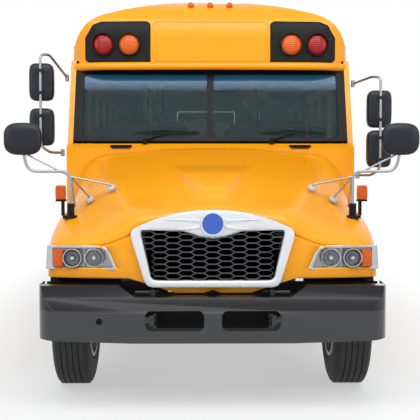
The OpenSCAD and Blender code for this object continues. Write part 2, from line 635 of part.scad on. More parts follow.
// Rear-view mirrors: points for the -X side; heads are [x, z]
module mirror_set(heads, arms) color(black) {
  for (h = heads) front_plate(1430, 1560) rounded_rect([h[0] - 100, h[1] - 155], [h[0] + 100, h[1] + 155], 35);
  for (a = arms) {
    tube_path(a, tube_r);
    for (p = [a[0], a[len(a) - 1]]) block(p - [12, 28, 28], p + [12, 28, 28]);
  }
}
pad_x = half_w + 12;
mirror_x = half_w + 180;
elbow_x = half_w + 120;
module mirrors_right() mirror_set([[-mirror_x, 2370], [-mirror_x, 2000]], [
  [[-pad_x, body_front + 325, 2450], [-elbow_x, 1500, 2600], [-mirror_x, 1424, 2590], [-mirror_x, 1424, 1840],
    [-elbow_x, 1500, 1790], [-pad_x, body_front + 35, 1790]]]);
module mirrors_left() mirror_set([[mirror_x, 2150], [mirror_x, 1820]], [
  [[pad_x, body_front + 320, 2400], [elbow_x, 1500, 2420], [mirror_x, 1424, 2400], [mirror_x, 1424, 1640],
    [elbow_x, 1500, 1600], [pad_x, body_front + 35, 1600]]]);

// Crossview mirrors: post on the fender, arm out and up, oval head
module crossview() color(black) {
  tube_path([[1055, 700, 1321], [1055, 700, 1640], [1365, 655, 1640], [1400, 655, 1790]], tube_r);
  rod([1055, 700, 1590], [762, 762, 1470], 8);
  translate([1400, 655, 1880]) front_plate(-50, 50) rounded_rect([-140, -120], [140, 120], 110);
}
module crossview_left() crossview();
module crossview_right() mirror([1, 0, 0]) crossview();

module wipers() color(black) difference() {
  for (x = [-560, 520]) {
    translate([x, body_front + 40, 1800]) cylinder(r = 14, h = 75, $fn = 32);
    rod([x, body_front + 40, 1868], [x + 190, body_front + 82, 1955], 9);
    rod([x - 60, body_front + 82, 1955], [x + 480, body_front + 82, 1955], 8);
  }
  side_plate(-inner_w, inner_w) cowl_top();
}

// ---- inside ----

module dash_block() block([-inner_w, body_front + 55, 1350], [inner_w, door_front - 10, 1755]);
module dashboard() color([0.12, 0.12, 0.13]) dash_block();
module steering_wheel() color(black) difference() {
  translate([driver_x, door_front + 220, 1750]) rotate([-40, 0, 0]) {
    rotate_extrude($fn = 64) translate([215, 0]) circle(14, $fn = 24);
    cylinder(r = 50, h = 30, center = true, $fn = 48);
    for (a = [0:120:240]) rotate([0, 0, a + 90]) block([30, -15, -6], [210, 15, 6]);
    translate([0, 0, -400]) cylinder(r = 28, h = 400, $fn = 32);
  }
  dash_block();
}
module driver_seat() color([0.2, 0.21, 0.23]) {
  block([driver_x - 240, driver_y - 200, 1440], [driver_x + 240, driver_y + 260, 1560]);
  block([driver_x - 240, driver_y + 265, 1500], [driver_x + 240, driver_y + 385, 2330]);
}
module each_seat() for (i = [0:window_count - 1], side = [-1, 1])
  translate([side * (inner_w - 20 - seat_w / 2), seat_first_y + i * window_pitch, 0]) children();
module seat_frames() color(steel) {
  block([driver_x - 150, driver_y - 100, floor_top], [driver_x + 150, driver_y + 200, 1439]);
  each_seat() for (x = [-seat_w / 2 + 60, seat_w / 2 - 90]) {
    block([x, -150, floor_top], [x + 30, -120, seat_top - 132]);
    block([x, 150, floor_top], [x + 30, 180, seat_top - 132]);
    block([x, -150, seat_top - 150], [x + 30, 300, seat_top - 120]);
    block([x, 276, seat_top - 150], [x + 30, 300, seat_back_top - 200]);
  }
}
module seat_cushions() color([0.1, 0.14, 0.22]) each_seat() block([-seat_w / 2, -190, seat_top - 119], [seat_w / 2, 190, seat_top]);
module seat_backs() color([0.1, 0.14, 0.22]) each_seat() block([-seat_w / 2, 195, seat_top - 119], [seat_w / 2, 275, seat_back_top]);
module barriers() color([0.1, 0.14, 0.22]) {
  y = windows_y + 20;
  both_sides() {
    block([475, y, floor_top], [inner_w - 20, y + 35, seat_back_top - 100]);
    rod([475, y + 17.5, floor_top], [475, y + 17.5, 2900], 22);
  }
  rod([-inner_w + 640, door_front + 30, floor_top], [-inner_w + 640, door_front + 30, 2400], 16);
}

// ---- stop arm ----

stop_z = 1420;
stop_hinge_y = shield_top[0] + 260;
module stop_sign_outline() translate([stop_hinge_y + 40 + stop_w / 2, stop_z]) rotate(22.5) circle(stop_w / 2 / cos(22.5), $fn = 8);
module stop_hinge_post() color(black) {
  for (z = [stop_z - 120, stop_z + 80]) {
    block([half_w - 2, stop_hinge_y - 15, z], [half_w + 20, stop_hinge_y + 15, z + 40]);
  }
  translate([half_w + 20, stop_hinge_y, stop_z - 120]) cylinder(r = 7, h = 240, $fn = 32);
}
module stop_arm() color("red") difference() {
  union() {
    side_plate(half_w + 12, half_w + 28) stop_sign_outline();
    translate([half_w + 20, stop_hinge_y, stop_z - 78]) cylinder(r = 12, h = 156, $fn = 32);
    block([half_w + 13, stop_hinge_y, stop_z - 78], [half_w + 27, stop_hinge_y + 60, stop_z + 78]);
  }
  translate([half_w + 20, stop_hinge_y, stop_z - 90]) cylinder(r = 7 + run_fit, h = 180, $fn = 32);
}

at_frame() frame_rail_left();
at_frame() frame_rail_right();
at_frame() crossmembers();
at_frame() engine();
at_frame() gearbox();
at_frame() drive_shaft();
at_frame() front_axle();
at_frame() rear_axle();
at_frame() leaf_springs();
at_frame() fuel_tank();
at_frame() exhaust();
at_frame() front_bumper();
at_frame() rear_bumper();
at_frame() floor_plate();
at_frame() cowl();
at_frame() windshield_frame();
at_frame() windshield();
at_frame() side_wall_left();
at_frame() side_wall_right();
at_frame() side_windows();
at_frame() roof();
at_frame() front_cap();
at_frame() rear_wall();
at_frame() warning_lamps();
at_frame() tail_lamps();
at_frame() mirrors_left();
at_frame() mirrors_right();
at_frame() wipers();
at_frame() dashboard();
at_frame() steering_wheel();
at_frame() driver_seat();
at_frame() seat_frames();
at_frame() seat_cushions();
at_frame() seat_backs();
at_frame() stepwell();
at_frame() barriers();
at_frame() hood();
at_frame() grille_surround();
at_frame() grille();
at_frame() badge();
at_frame() headlamps();
at_frame() fender_lamps();
at_frame() crossview_left();
at_frame() crossview_right();
at_frame() knuckle_left();
at_frame() knuckle_right();
at_frame() front_tyre_left();
at_frame() front_tyre_right();
at_frame() front_rim_left();
at_frame() front_rim_right();
at_frame() rear_tyres_left();
at_frame() rear_tyres_right();
at_frame() rear_rims_left();
at_frame() rear_rims_right();
at_frame() entrance_door_front();
at_frame() entrance_door_rear();
at_frame() entrance_glass_front();
at_frame() entrance_glass_rear();
at_frame() rear_door();
at_frame() rear_door_glass();
at_frame() stop_arm();
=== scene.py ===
# A full-size school bus, standing on its wheels. It faces -Y, and +X is its left side.
from math import cos, pi, radians, sin, tau

import bmesh
import bpy
import numpy as np
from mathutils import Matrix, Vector


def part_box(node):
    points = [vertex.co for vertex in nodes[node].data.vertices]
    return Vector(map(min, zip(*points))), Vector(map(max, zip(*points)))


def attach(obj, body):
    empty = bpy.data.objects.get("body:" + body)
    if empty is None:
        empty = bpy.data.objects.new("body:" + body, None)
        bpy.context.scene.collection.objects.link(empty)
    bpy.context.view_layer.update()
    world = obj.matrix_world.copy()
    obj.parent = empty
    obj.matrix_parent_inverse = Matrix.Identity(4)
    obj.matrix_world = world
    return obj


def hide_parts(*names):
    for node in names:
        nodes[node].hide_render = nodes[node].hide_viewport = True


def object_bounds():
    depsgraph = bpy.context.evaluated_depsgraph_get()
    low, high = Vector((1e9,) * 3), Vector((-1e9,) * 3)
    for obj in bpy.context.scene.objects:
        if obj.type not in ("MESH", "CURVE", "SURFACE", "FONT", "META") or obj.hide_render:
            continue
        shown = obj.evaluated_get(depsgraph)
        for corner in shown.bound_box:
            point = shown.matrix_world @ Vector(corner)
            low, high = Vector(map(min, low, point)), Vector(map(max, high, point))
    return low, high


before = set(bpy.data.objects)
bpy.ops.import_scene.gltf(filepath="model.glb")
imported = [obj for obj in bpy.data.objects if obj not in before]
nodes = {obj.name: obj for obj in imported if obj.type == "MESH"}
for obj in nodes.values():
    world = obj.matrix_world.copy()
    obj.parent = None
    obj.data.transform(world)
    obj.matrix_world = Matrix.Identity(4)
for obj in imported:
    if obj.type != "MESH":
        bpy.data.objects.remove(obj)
cad_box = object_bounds()
FRONT = cad_box[0].y

# ---- The studio: camera, floor, white surround and soft lamps ----
# The camera stands a bus width and a half ahead at eye height; the floor is pale and keeps the shadow.
EYE = Vector((-0.08, FRONT - 6.15, 1.70))
scene = bpy.context.scene
scene.view_settings.view_transform = "Standard"
camera = bpy.data.objects.new("camera", bpy.data.cameras.new("camera"))
camera.data.lens = 78.5
camera.location = EYE
camera.rotation_euler = (radians(90 - 2.92), 0, radians(-0.55))
scene.collection.objects.link(camera)
scene.camera = camera


class Value:
    """A shader socket that Python's operators work on."""

    def __init__(self, shader, socket):
        self.shader, self.socket = shader, socket

    def math(self, operation, *others, flip=False):
        """A Math node on this value and the others, in turned order if flip is set."""
        values = [self, *others]
        if flip:
            values.reverse()
        return self.shader.node("ShaderNodeMath", {"operation": operation}, dict(enumerate(values)))

    def __add__(self, other):
        return self.math("ADD", other)

    def __sub__(self, other):
        return self.math("SUBTRACT", other)

    def __rsub__(self, other):
        return self.math("SUBTRACT", other, flip=True)

    def __mul__(self, other):
        return self.math("MULTIPLY", other)

    def __gt__(self, other):
        return self.math("GREATER_THAN", other)

    def __lt__(self, other):
        return self.math("LESS_THAN", other)

    __radd__, __rmul__ = __add__, __mul__


class Shader:
    def __init__(self, name):
        self.material = bpy.data.materials.new(name)
        self.material.use_nodes = True
        self.tree = self.material.node_tree
        self.tree.nodes.clear()
        self.out = self.tree.nodes.new("ShaderNodeOutputMaterial")

    def feed(self, socket, value):
        """Links a value to a socket, or sets a constant on it."""
        if isinstance(value, Value):
            self.tree.links.new(value.socket, socket)
        elif isinstance(value, tuple) and socket.type == "RGBA":
            socket.default_value = (*value, 1.0)[:4]
        else:
            socket.default_value = value

    def node(self, kind, settings=None, inputs=None, output=0):
        """Any node: its settings first, then its sockets."""
        made = self.tree.nodes.new(kind)
        for key, value in (settings or {}).items():
            setattr(made, key, value)
        for key, value in (inputs or {}).items():
            self.feed(made.inputs[key], value)
        return Value(self, made.outputs[output])

    def place(self):
        """The point on the piece, in metres of the shared frame."""
        return self.node("ShaderNodeTexCoord", output="Object")

    def axes(self):
        """The same point as x, y and z."""
        split = self.tree.nodes.new("ShaderNodeSeparateXYZ")
        self.feed(split.inputs[0], self.place())
        return [Value(self, split.outputs[i]) for i in range(3)]

    def noise(self, scale, detail=4.0):
        """Smooth noise, scale patches to the metre."""
        return self.node("ShaderNodeTexNoise", None,
                         {"Vector": self.place(), "Scale": scale, "Detail": detail})

    def mix(self, amount, low, high):
        """A colour part of the way from low to high."""
        made = self.tree.nodes.new("ShaderNodeMix")
        made.data_type = "RGBA"
        for key, value in ((0, amount), (6, low), (7, high)):
            self.feed(made.inputs[key], value)
        return Value(self, made.outputs[2])

    def bump(self, height, strength, distance):
        """A normal tilted by the slope of a height."""
        return self.node("ShaderNodeBump", None,
                         {"Height": height, "Strength": strength, "Distance": distance})

    def finish(self, **sockets):
        """Closes the material with a surface that has these sockets."""
        surface = self.tree.nodes.new("ShaderNodeBsdfPrincipled")
        for key, value in sockets.items():
            self.feed(surface.inputs[key.replace("_", " ")], value)
        self.tree.links.new(surface.outputs[0], self.out.inputs[0])
        return self.material


def studio_white(name, colour, glow):
    """Diffuse floor that the camera, mirrors and glass see fade to white paper away from the bus."""
    s = Shader(name)
    path = s.tree.nodes.new("ShaderNodeLightPath")
    seen = Value(s, path.outputs["Is Camera Ray"])
    for ray in ("Is Transmission Ray", "Is Glossy Ray"):
        seen = seen.math("MAXIMUM", Value(s, path.outputs[ray]))
    paint = s.tree.nodes.new("ShaderNodeBsdfDiffuse")
    paint.inputs[0].default_value = (*colour, 1)
    light = s.tree.nodes.new("ShaderNodeEmission")
    light.inputs[1].default_value = glow
    blend = s.tree.nodes.new("ShaderNodeMixShader")
    x, y, z = s.axes()
    away = (x.math("ABSOLUTE") - 1.6).math("MAXIMUM", y.math("ABSOLUTE") - 5.2) * 0.4
    s.feed(blend.inputs[0], seen * (away.math("MAXIMUM", 0.0).math("MINIMUM", 0.5) + 0.5))
    s.tree.links.new(paint.outputs[0], blend.inputs[1])
    s.tree.links.new(light.outputs[0], blend.inputs[2])
    s.tree.links.new(blend.outputs[0], s.out.inputs[0])
    return s.material


world = bpy.data.worlds.new("surround")
scene.world = world
world.use_nodes = True
sky = world.node_tree
sky.nodes.clear()
sky_out = sky.nodes.new("ShaderNodeOutputWorld")
sky_light = sky.nodes.new("ShaderNodeBackground")
sky_light.inputs[0].default_value = (0.95, 0.97, 1.0, 1)
sky_light.inputs[1].default_value = 0.5
sky_seen = sky.nodes.new("ShaderNodeBackground")
sky_seen.inputs[0].default_value = (1, 1, 1, 1)
sky_seen.inputs[1].default_value = 1.0
sky_path = sky.nodes.new("ShaderNodeLightPath")
sky_mix = sky.nodes.new("ShaderNodeMixShader")
seen_by = sky_path.outputs["Is Camera Ray"]
for ray in ("Is Transmission Ray", "Is Glossy Ray"):
    either = sky.nodes.new("ShaderNodeMath")
    either.operation = "MAXIMUM"
    sky.links.new(seen_by, either.inputs[0])
    sky.links.new(sky_path.outputs[ray], either.inputs[1])
    seen_by = either.outputs[0]
sky.links.new(seen_by, sky_mix.inputs[0])
sky.links.new(sky_light.outputs[0], sky_mix.inputs[1])
sky.links.new(sky_seen.outputs[0], sky_mix.inputs[2])
sky.links.new(sky_mix.outputs[0], sky_out.inputs[0])

FLOOR = 60.0
floor_mesh = bpy.data.meshes.new("floor")
floor_corners = [(-FLOOR, -FLOOR, 0), (FLOOR, -FLOOR, 0), (FLOOR, FLOOR, 0), (-FLOOR, FLOOR, 0)]
floor_mesh.from_pydata(floor_corners, [], [(0, 1, 2, 3)])
floor = bpy.data.objects.new("floor", floor_mesh)
floor_mesh.materials.append(studio_white("pale floor", (0.9, 0.9, 0.9), 1.0))
scene.collection.objects.link(floor)


def lamp(name, place, aim, size, power):
    """A soft rectangular lamp at a place, aimed at a point."""
    data = bpy.data.lights.new(name, "AREA")
    data.shape = "RECTANGLE"
    data.size, data.size_y = size
    data.energy = power
    made = bpy.data.objects.new(name, data)
    made.location = place
    made.rotation_mode = "QUATERNION"
    made.rotation_quaternion = (Vector(aim) - Vector(place)).to_track_quat("-Z", "Y")
    scene.collection.objects.link(made)


lamp("ceiling lamp", (0, FRONT - 3.0, 6.5), (0, FRONT + 1, 1), (7, 4), 330)
lamp("left lamp", (7, FRONT - 4, 4.5), (0, FRONT + 1, 1.5), (3, 4), 100)
lamp("right lamp", (-7, FRONT - 4, 4.5), (0, FRONT + 1, 1.5), (3, 4), 100)
lamp("rear lamp", (3, -FRONT + 5, 6.0), (0, 2, 1.5), (6, 4), 300)

# ---- Chassis ----
# Black-painted pressed rails bolted to crossmembers, with the axles slung under them on leaf springs. The
# bare engine, gearbox and shaft sit between the rails, and the tank and the exhaust hang beside them.


def spread(s, low, high, scale=3.0):
    """Roughness or strength that wanders between two values, patch by patch."""
    return low + (high - low) * s.noise(scale)


def repaint(material, *names):
    """Gives CAD nodes a finish; their meshes stay as they are."""
    for name in names:
        nodes[name].data.materials.clear()
        nodes[name].data.materials.append(material)


s = Shader("frame black")
frame_black = s.finish(Base_Color=s.mix(s.noise(5.0), (0.012, 0.012, 0.013), (0.035, 0.032, 0.03)),
                       Roughness=spread(s, 0.38, 0.62, 6.0), Normal=s.bump(s.noise(60.0), 0.12, 0.002))
s = Shader("bright steel")
bright_steel = s.finish(Base_Color=s.mix(s.noise(20.0), (0.62, 0.62, 0.64), (0.5, 0.5, 0.52)), Metallic=1.0,
                        Roughness=spread(s, 0.18, 0.32, 30.0))
repaint(frame_black, "frame_rail_left", "frame_rail_right", "crossmembers", "front_axle", "rear_axle",
        "leaf_springs", "fuel_tank")
repaint(bright_steel, "engine", "gearbox", "drive_shaft", "exhaust", "knuckle_left", "knuckle_right")

# ---- Wheels and tyres ----
# Ribbed highway tyres on pale steel disc wheels, two and two at the rear. A ring of nuts holds each disc
# round a pressed hub rim.


class Shape:
    """Gathers vertices and faces of many small parts into one mesh; each part names its material."""

    def __init__(self):
        self.points, self.faces, self.marks, self.count = [], [], [], 0

    def add(self, points, faces, mark=0):
        """Takes one part in, its faces counted on from the points already there."""
        points = np.asarray(points, float).reshape(-1, 3)
        for block in faces if isinstance(faces, list) else [faces]:
            block = np.asarray(block, int) + self.count
            self.faces.extend(block.tolist())
            self.marks.extend([mark] * len(block))
        self.points.append(points)
        self.count += len(points)
        return self

    def mirrored(self):
        """Adds the same parts again on the other side of the bus, turned right side out."""
        points = np.concatenate(self.points) * (-1, 1, 1)
        self.faces += [[i + self.count for i in reversed(f)] for f in self.faces]
        self.marks += self.marks
        self.points.append(points)
        self.count *= 2
        return self

    def make(self, name, body, materials, slot, replaces=(), smooth=40, bevel=0, solid=0):
        """Joins what was added into one piece, with doubles merged and every face turned outwards."""
        mesh = bpy.data.meshes.new(name)
        mesh.from_pydata(np.concatenate(self.points).tolist(), [], self.faces)
        piece = bpy.data.objects.new(name, mesh)
        scene.collection.objects.link(piece)
        for material in materials:
            mesh.materials.append(material)
        mesh.polygons.foreach_set("material_index", self.marks)
        joined = bmesh.new()
        joined.from_mesh(mesh)
        bmesh.ops.remove_doubles(joined, verts=joined.verts, dist=2e-5)
        bmesh.ops.recalc_face_normals(joined, faces=joined.faces)
        joined.to_mesh(mesh)
        joined.free()
        return dressed(piece, body, replaces, smooth, bevel, solid)


def dressed(piece, body, replaces=(), smooth=40, bevel=0, solid=0):
    """Finishes a piece: optional wall, rounded edges and smoothing, then its body, and hides the parts it
    replaces.
    """
    if solid:
        wall = piece.modifiers.new("wall", "SOLIDIFY")
        wall.thickness, wall.offset = solid, -1
    if bevel:
        edge = piece.modifiers.new("edges", "BEVEL")
        edge.width, edge.segments, edge.limit_method = bevel, 3, "ANGLE"
        edge.angle_limit, edge.harden_normals = radians(35), True
    piece.data.polygons.foreach_set("use_smooth", [True] * len(piece.data.polygons))
    piece.data.set_sharp_from_angle(angle=radians(smooth))
    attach(piece, body)
    if replaces:
        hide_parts(*replaces)
    return piece


def quads(rows, columns, wrap=False):
    """Faces of a grid of points, row by row; wrap joins the last column to the first."""
    r, c = np.meshgrid(np.arange(rows - 1), np.arange(columns if wrap else columns - 1), indexing="ij")
    n = (c + 1) % columns
    return np.stack([r * columns + c, r * columns + n, (r + 1) * columns + n, (r + 1) * columns + c],
                    -1).reshape(-1, 4)


def turned(profile, centre, axis, sides=48):
    """A profile of (radius, distance along axis) turned about an axis through centre."""
    axis = np.array(Vector(axis).normalized())
    side = np.cross(axis, (0, 0, 1) if abs(axis[2]) < 0.9 else (1, 0, 0))
    side /= np.linalg.norm(side)
    other = np.cross(axis, side)
    a = np.linspace(0, tau, sides, endpoint=False)
    ring = np.cos(a)[:, None] * side + np.sin(a)[:, None] * other
    profile = np.array(profile, float)
    points = (np.array(centre) + profile[:, 1, None, None] * axis + profile[:, 0, None, None] * ring)
    faces = [quads(len(profile), sides, True)]
    return points.reshape(-1, 3), faces


s = Shader("tyre rubber")
tyre_rubber = s.finish(Base_Color=s.mix(s.noise(8.0), (0.012, 0.012, 0.012), (0.03, 0.03, 0.03)),
                       Roughness=spread(s, 0.62, 0.8, 5.0), Normal=s.bump(s.noise(220.0, 2.0), 0.25, 0.0015))
s = Shader("wheel white")
wheel_white = s.finish(Base_Color=s.mix(s.noise(7.0), (0.62, 0.62, 0.62), (0.48, 0.47, 0.46)),
                       Roughness=spread(s, 0.35, 0.5, 4.0), Coat_Weight=0.2)
repaint(wheel_white, "front_rim_left", "front_rim_right", "rear_rims_left", "rear_rims_right")
tyre_low, tyre_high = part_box("front_tyre_left")
TYRE_W = tyre_high.x - tyre_low.x
TYRE_R = tyre_high.z / 2
FRONT_AXLE = (tyre_low.y + tyre_high.y) / 2
RIM_R = 0.29
RIB, GROOVE_DEEP = 0.042, 0.012


def tyre_profile():
    """Closed section of a tyre: bead, bulged side, shoulder and five ribs parted by grooves."""
    w = TYRE_W / 2
    side = [(RIM_R, w - 0.02), (RIM_R + 0.02, w - 0.012), (RIM_R + 0.055, w - 0.003), (0.385, w - 0.001),
            (0.43, w - 0.005), (0.465, w - 0.012), (0.488, w - 0.022), (TYRE_R - 0.004, w - 0.034)]
    ribs = []
    for k in (4, 3, 2, 1, 0):
        lo, hi = RIB * (k - 2.5), RIB * (k - 1.5)
        ribs += [(TYRE_R, hi - 0.004), (TYRE_R, lo + 0.004)]
        if k:
            ribs += [(TYRE_R - GROOVE_DEEP, lo + 0.003), (TYRE_R - GROOVE_DEEP, lo - 0.003)]
    other = [(r, -x) for r, x in side[::-1]]
    inner = [(RIM_R, -w + 0.03), (RIM_R + 0.06, -0.06), (RIM_R + 0.06, 0.06), (RIM_R, w - 0.03)]
    return side + ribs + other + inner + side[:1]


for name, body in (("front_tyre_left", "wheel_front_left"), ("front_tyre_right", "wheel_front_right"),
                   ("rear_tyres_left", "wheels_rear_left"), ("rear_tyres_right", "wheels_rear_right")):
    low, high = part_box(name)
    set_of = Shape()
    for x in sorted({round(low.x + TYRE_W / 2, 6), round(high.x - TYRE_W / 2, 6)}):
        set_of.add(*turned(tyre_profile(), (x, (low.y + high.y) / 2, TYRE_R), (1, 0, 0), 96))
    set_of.make(name + "_ribbed", body, [tyre_rubber], "tyre_rubber", (name,), 32)
NUT_COUNT = 10
NUT_CIRCLE = 0.143
FRONT_DISC, REAR_DISC = 1.1975, 0.922
nut = [(0.0, 0.03), (0.008, 0.03), (0.012, 0.026), (0.016, 0.02), (0.017, 0.0)]
hub_rim = [(0.1, 0.0), (0.108, 0.004), (0.108, 0.01), (0.1, 0.014)]
for side, word in ((-1, "right"), (1, "left")):
    for name, body, face in (("front_rim_" + word, "wheel_front_" + word, FRONT_DISC),
                             ("rear_rims_" + word, "wheels_rear_" + word, REAR_DISC)):
        low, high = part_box(name)
        y = (low.y + high.y) / 2
        nuts = Shape()
        for k in range(NUT_COUNT):
            a = tau * k / NUT_COUNT + 0.1
            seat = (side * face, y + NUT_CIRCLE * cos(a), TYRE_R + NUT_CIRCLE * sin(a))
            nuts.add(*turned(nut, seat, (side, 0, 0), 6))
        nuts.add(*turned(hub_rim, (side * face, y, TYRE_R), (side, 0, 0), 40))
        nuts.make("wheel_nuts_" + name, body, [bright_steel], "steel", (), 30)

# ---- Body shell ----
# Steel floor, cowl, walls and bowed roof, riveted over hoops and painted fleet yellow. The floor and the
# stepwell inside the entrance are covered in grey.
YELLOW = (0.93, 0.365, 0.0012)
s = Shader("bus yellow")
grime = s.noise(1.7)
body_paint = s.finish(Base_Color=s.mix(grime * 0.2, YELLOW, (0.86, 0.29, 0.001)),
                      Roughness=spread(s, 0.24, 0.36), Specular_IOR_Level=0.3, Coat_Weight=0.22,
                      Coat_Roughness=0.06)
s = Shader("grey plastic")
grey_plastic = s.finish(Base_Color=s.mix(s.noise(10.0), (0.05, 0.052, 0.056), (0.075, 0.077, 0.082)),
                        Roughness=spread(s, 0.5, 0.65), Normal=s.bump(s.noise(400.0), 0.25, 0.001))
repaint(body_paint, "cowl", "side_wall_left", "side_wall_right", "roof", "rear_wall")
repaint(grey_plastic, "floor_plate", "stepwell")

# ---- Body sides ----
# Riveted black rub rails along each side, a black rubber sash round every window and round the driver's,
# and small marker lamps. The side windows are dark, nearly opaque glass, painted shade of the cabin behind.


def box(low, high):
    """A plain block; its edges are rounded by the piece's bevel."""
    corners = np.array([[(low, high)[i][0], (low, high)[j][1], (low, high)[k][2]]
                        for i in (0, 1) for j in (0, 1) for k in (0, 1)])
    sides = [[0, 1, 3, 2], [4, 6, 7, 5], [0, 4, 5, 1], [2, 3, 7, 6], [0, 2, 6, 4], [1, 5, 7, 3]]
    return corners, np.array(sides)


def rounded(low, high, r, steps=6):
    """Counter-clockwise outline of a rectangle with round corners."""
    a = np.linspace(0, pi / 2, steps)
    arcs = []
    for k, (x, z) in enumerate(((high[0] - r, high[1] - r), (low[0] + r, high[1] - r),
                                (low[0] + r, low[1] + r), (high[0] - r, low[1] + r))):
        arcs.append(np.column_stack([x + r * np.cos(a + k * pi / 2), z + r * np.sin(a + k * pi / 2)]))
    return np.concatenate(arcs)


s = Shader("black plastic")
black_plastic = s.finish(Base_Color=s.mix(s.noise(14.0), (0.003, 0.003, 0.0035), (0.007, 0.007, 0.008)),
                         Roughness=spread(s, 0.42, 0.58, 9.0), Specular_IOR_Level=0.2,
                         Normal=s.bump(s.noise(900.0, 2.0), 0.2, 0.0006))
# Painted shade: near-black glass at alpha 0.86 stands in for the shaded cabin seen through the side and rear
# windows.
s = Shader("shade darkened glass")
shade_darkened_glass = s.finish(Base_Color=s.mix(s.noise(0.8), (0.006, 0.014, 0.014), (0.012, 0.022, 0.022)),
                        Roughness=0.04, Alpha=0.86, Specular_IOR_Level=0.3)


def fluted_lens(name, light, dark):
    """Coloured plastic with level flutes inside it: their height is a sine of z."""
    s = Shader(name)
    x, y, z = s.axes()
    return s.finish(Base_Color=s.mix(s.noise(30.0), light, dark), Roughness=0.16, Specular_IOR_Level=0.3,
                    Normal=s.bump((z * 380.0).math("SINE"), 0.35, 0.002), Coat_Weight=0.2)


amber_lens = fluted_lens("amber lens", (0.74, 0.125, 0.002), (0.6, 0.075, 0.0))
red_lens = fluted_lens("red lens", (0.36, 0.005, 0.003), (0.25, 0.003, 0.002))
repaint(shade_darkened_glass, "side_windows")
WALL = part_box("side_wall_left")[1].x
RAILS_FRONT, RAILS_BACK = FRONT + 2.85, FRONT + 9.24
WHEEL_GAP = (FRONT + 5.78, FRONT + 7.10)
rails = Shape()
for z, runs in ((0.74, ((RAILS_FRONT, WHEEL_GAP[0]), (WHEEL_GAP[1], RAILS_BACK))),
                (1.09, ((RAILS_FRONT, RAILS_BACK),)), (1.60, ((RAILS_FRONT, RAILS_BACK),))):
    for y0, y1 in runs:
        rails.add(*box((WALL, y0, z - 0.035), (WALL + 0.014, y1, z + 0.035)))
        rails.add(*box((WALL + 0.012, y0, z - 0.012), (WALL + 0.022, y1, z + 0.012)))
rails.mirrored().make("rub_rails", "body", [black_plastic], "black_trim", (), 30, 0.003)
WINDOW_LOW, WINDOW_HIGH = 1.69, 2.40
FIRST_WINDOW = FRONT + 2.98
WINDOW_PITCH, WINDOW_WIDTH, WINDOW_COUNT = 0.711, 0.621, 8


def frame_of(outer, inner, place):
    """A closed bar between two outlines of the same point count; place sets a line at a depth of 0 to 1."""
    n = len(outer)
    loops = [place(outer, 0.0), place(outer, 1.0), place(inner, 1.0), place(inner, 0.0), place(outer, 0.0)]
    return np.stack(loops), quads(5, n, True)


def on_side(depth0, depth1):
    """Sets a line of (y, z) points on the left side, its depth going from depth0 to depth1."""
    def place(line, k):
        depth = np.full(len(line), depth0 + (depth1 - depth0) * k)
        return np.column_stack([depth, line[:, 0], line[:, 1]])
    return place


def sash(y0, y1, lip):
    """A ring in a window opening: 4 mm past the opening outside, and in by lip at its ends."""
    outer_line = rounded((y0 - 0.004, WINDOW_LOW - 0.004), (y1 + 0.004, WINDOW_HIGH + 0.004), 0.05)
    inner_line = rounded((y0 + lip, WINDOW_LOW + 0.024), (y1 - lip, WINDOW_HIGH - 0.024), 0.035)
    return frame_of(outer_line, inner_line, on_side(WALL - 0.03, WALL + 0.005))


sashes = Shape()
for k in range(WINDOW_COUNT):
    y0 = FIRST_WINDOW + WINDOW_PITCH * k
    y1 = y0 + WINDOW_WIDTH
    sashes.add(*sash(y0, y1, 0.024))
    sashes.add(*box((WALL - 0.028, y0 + 0.02, 2.03), (WALL + 0.001, y1 - 0.02, 2.056)))
sashes.mirrored()
sashes.add(*sash(FRONT + 2.07, FRONT + 2.89, 0.026))
sashes.add(*box((WALL - 0.028, FRONT + 2.46, 1.7), (WALL + 0.001, FRONT + 2.485, 2.39)))
sashes.make("window_sashes", "body", [black_plastic], "black_trim", (), 30, 0.002)
small = Shape()
marker_dome = [(0, 0.02), (0.02, 0.018), (0.03, 0.008), (0.032, -0.005)]
for y, mark in ((FRONT + 2.92, 0), (FRONT + 5.9, 0), (FRONT + 9.1, 1)):
    small.add(*turned(marker_dome, (WALL, y, 1.33), (1, 0, 0), 24), mark)
small.mirrored().make("side_markers", "body", [amber_lens, red_lens], "lamp_amber", (), 50)
rivets = Shape()
rivet_y = np.arange(FRONT + 2.95, FRONT + 9.2, 0.32)
dot, dot_faces = turned([(0, 0.004), (0.006, 0.003), (0.008, -0.001)], (0, 0, 0), (1, 0, 0), 8)
for z in (1.655, 2.46, 1.17):
    spots = np.column_stack([np.full(len(rivet_y), WALL), rivet_y, np.full(len(rivet_y), z)])
    cloud = (spots[:, None] + dot[None]).reshape(-1, 3)
    rivets.add(cloud, np.concatenate([dot_faces[0] + len(dot) * k for k in range(len(spots))]))
rivets.mirrored().make("side_rivets", "body", [body_paint], "body_paint", (), 60)

# ---- Hood ----
# One glass-fibre shell with the fenders moulded in. Rings run across it from the nose back to the cowl;
# each ring is a rounded line through a few corners whose places change along the bus.
HOOD_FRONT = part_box("grille")[0].y
ARCH_R = 0.6
HOOD_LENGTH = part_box("hood")[1].y - HOOD_FRONT
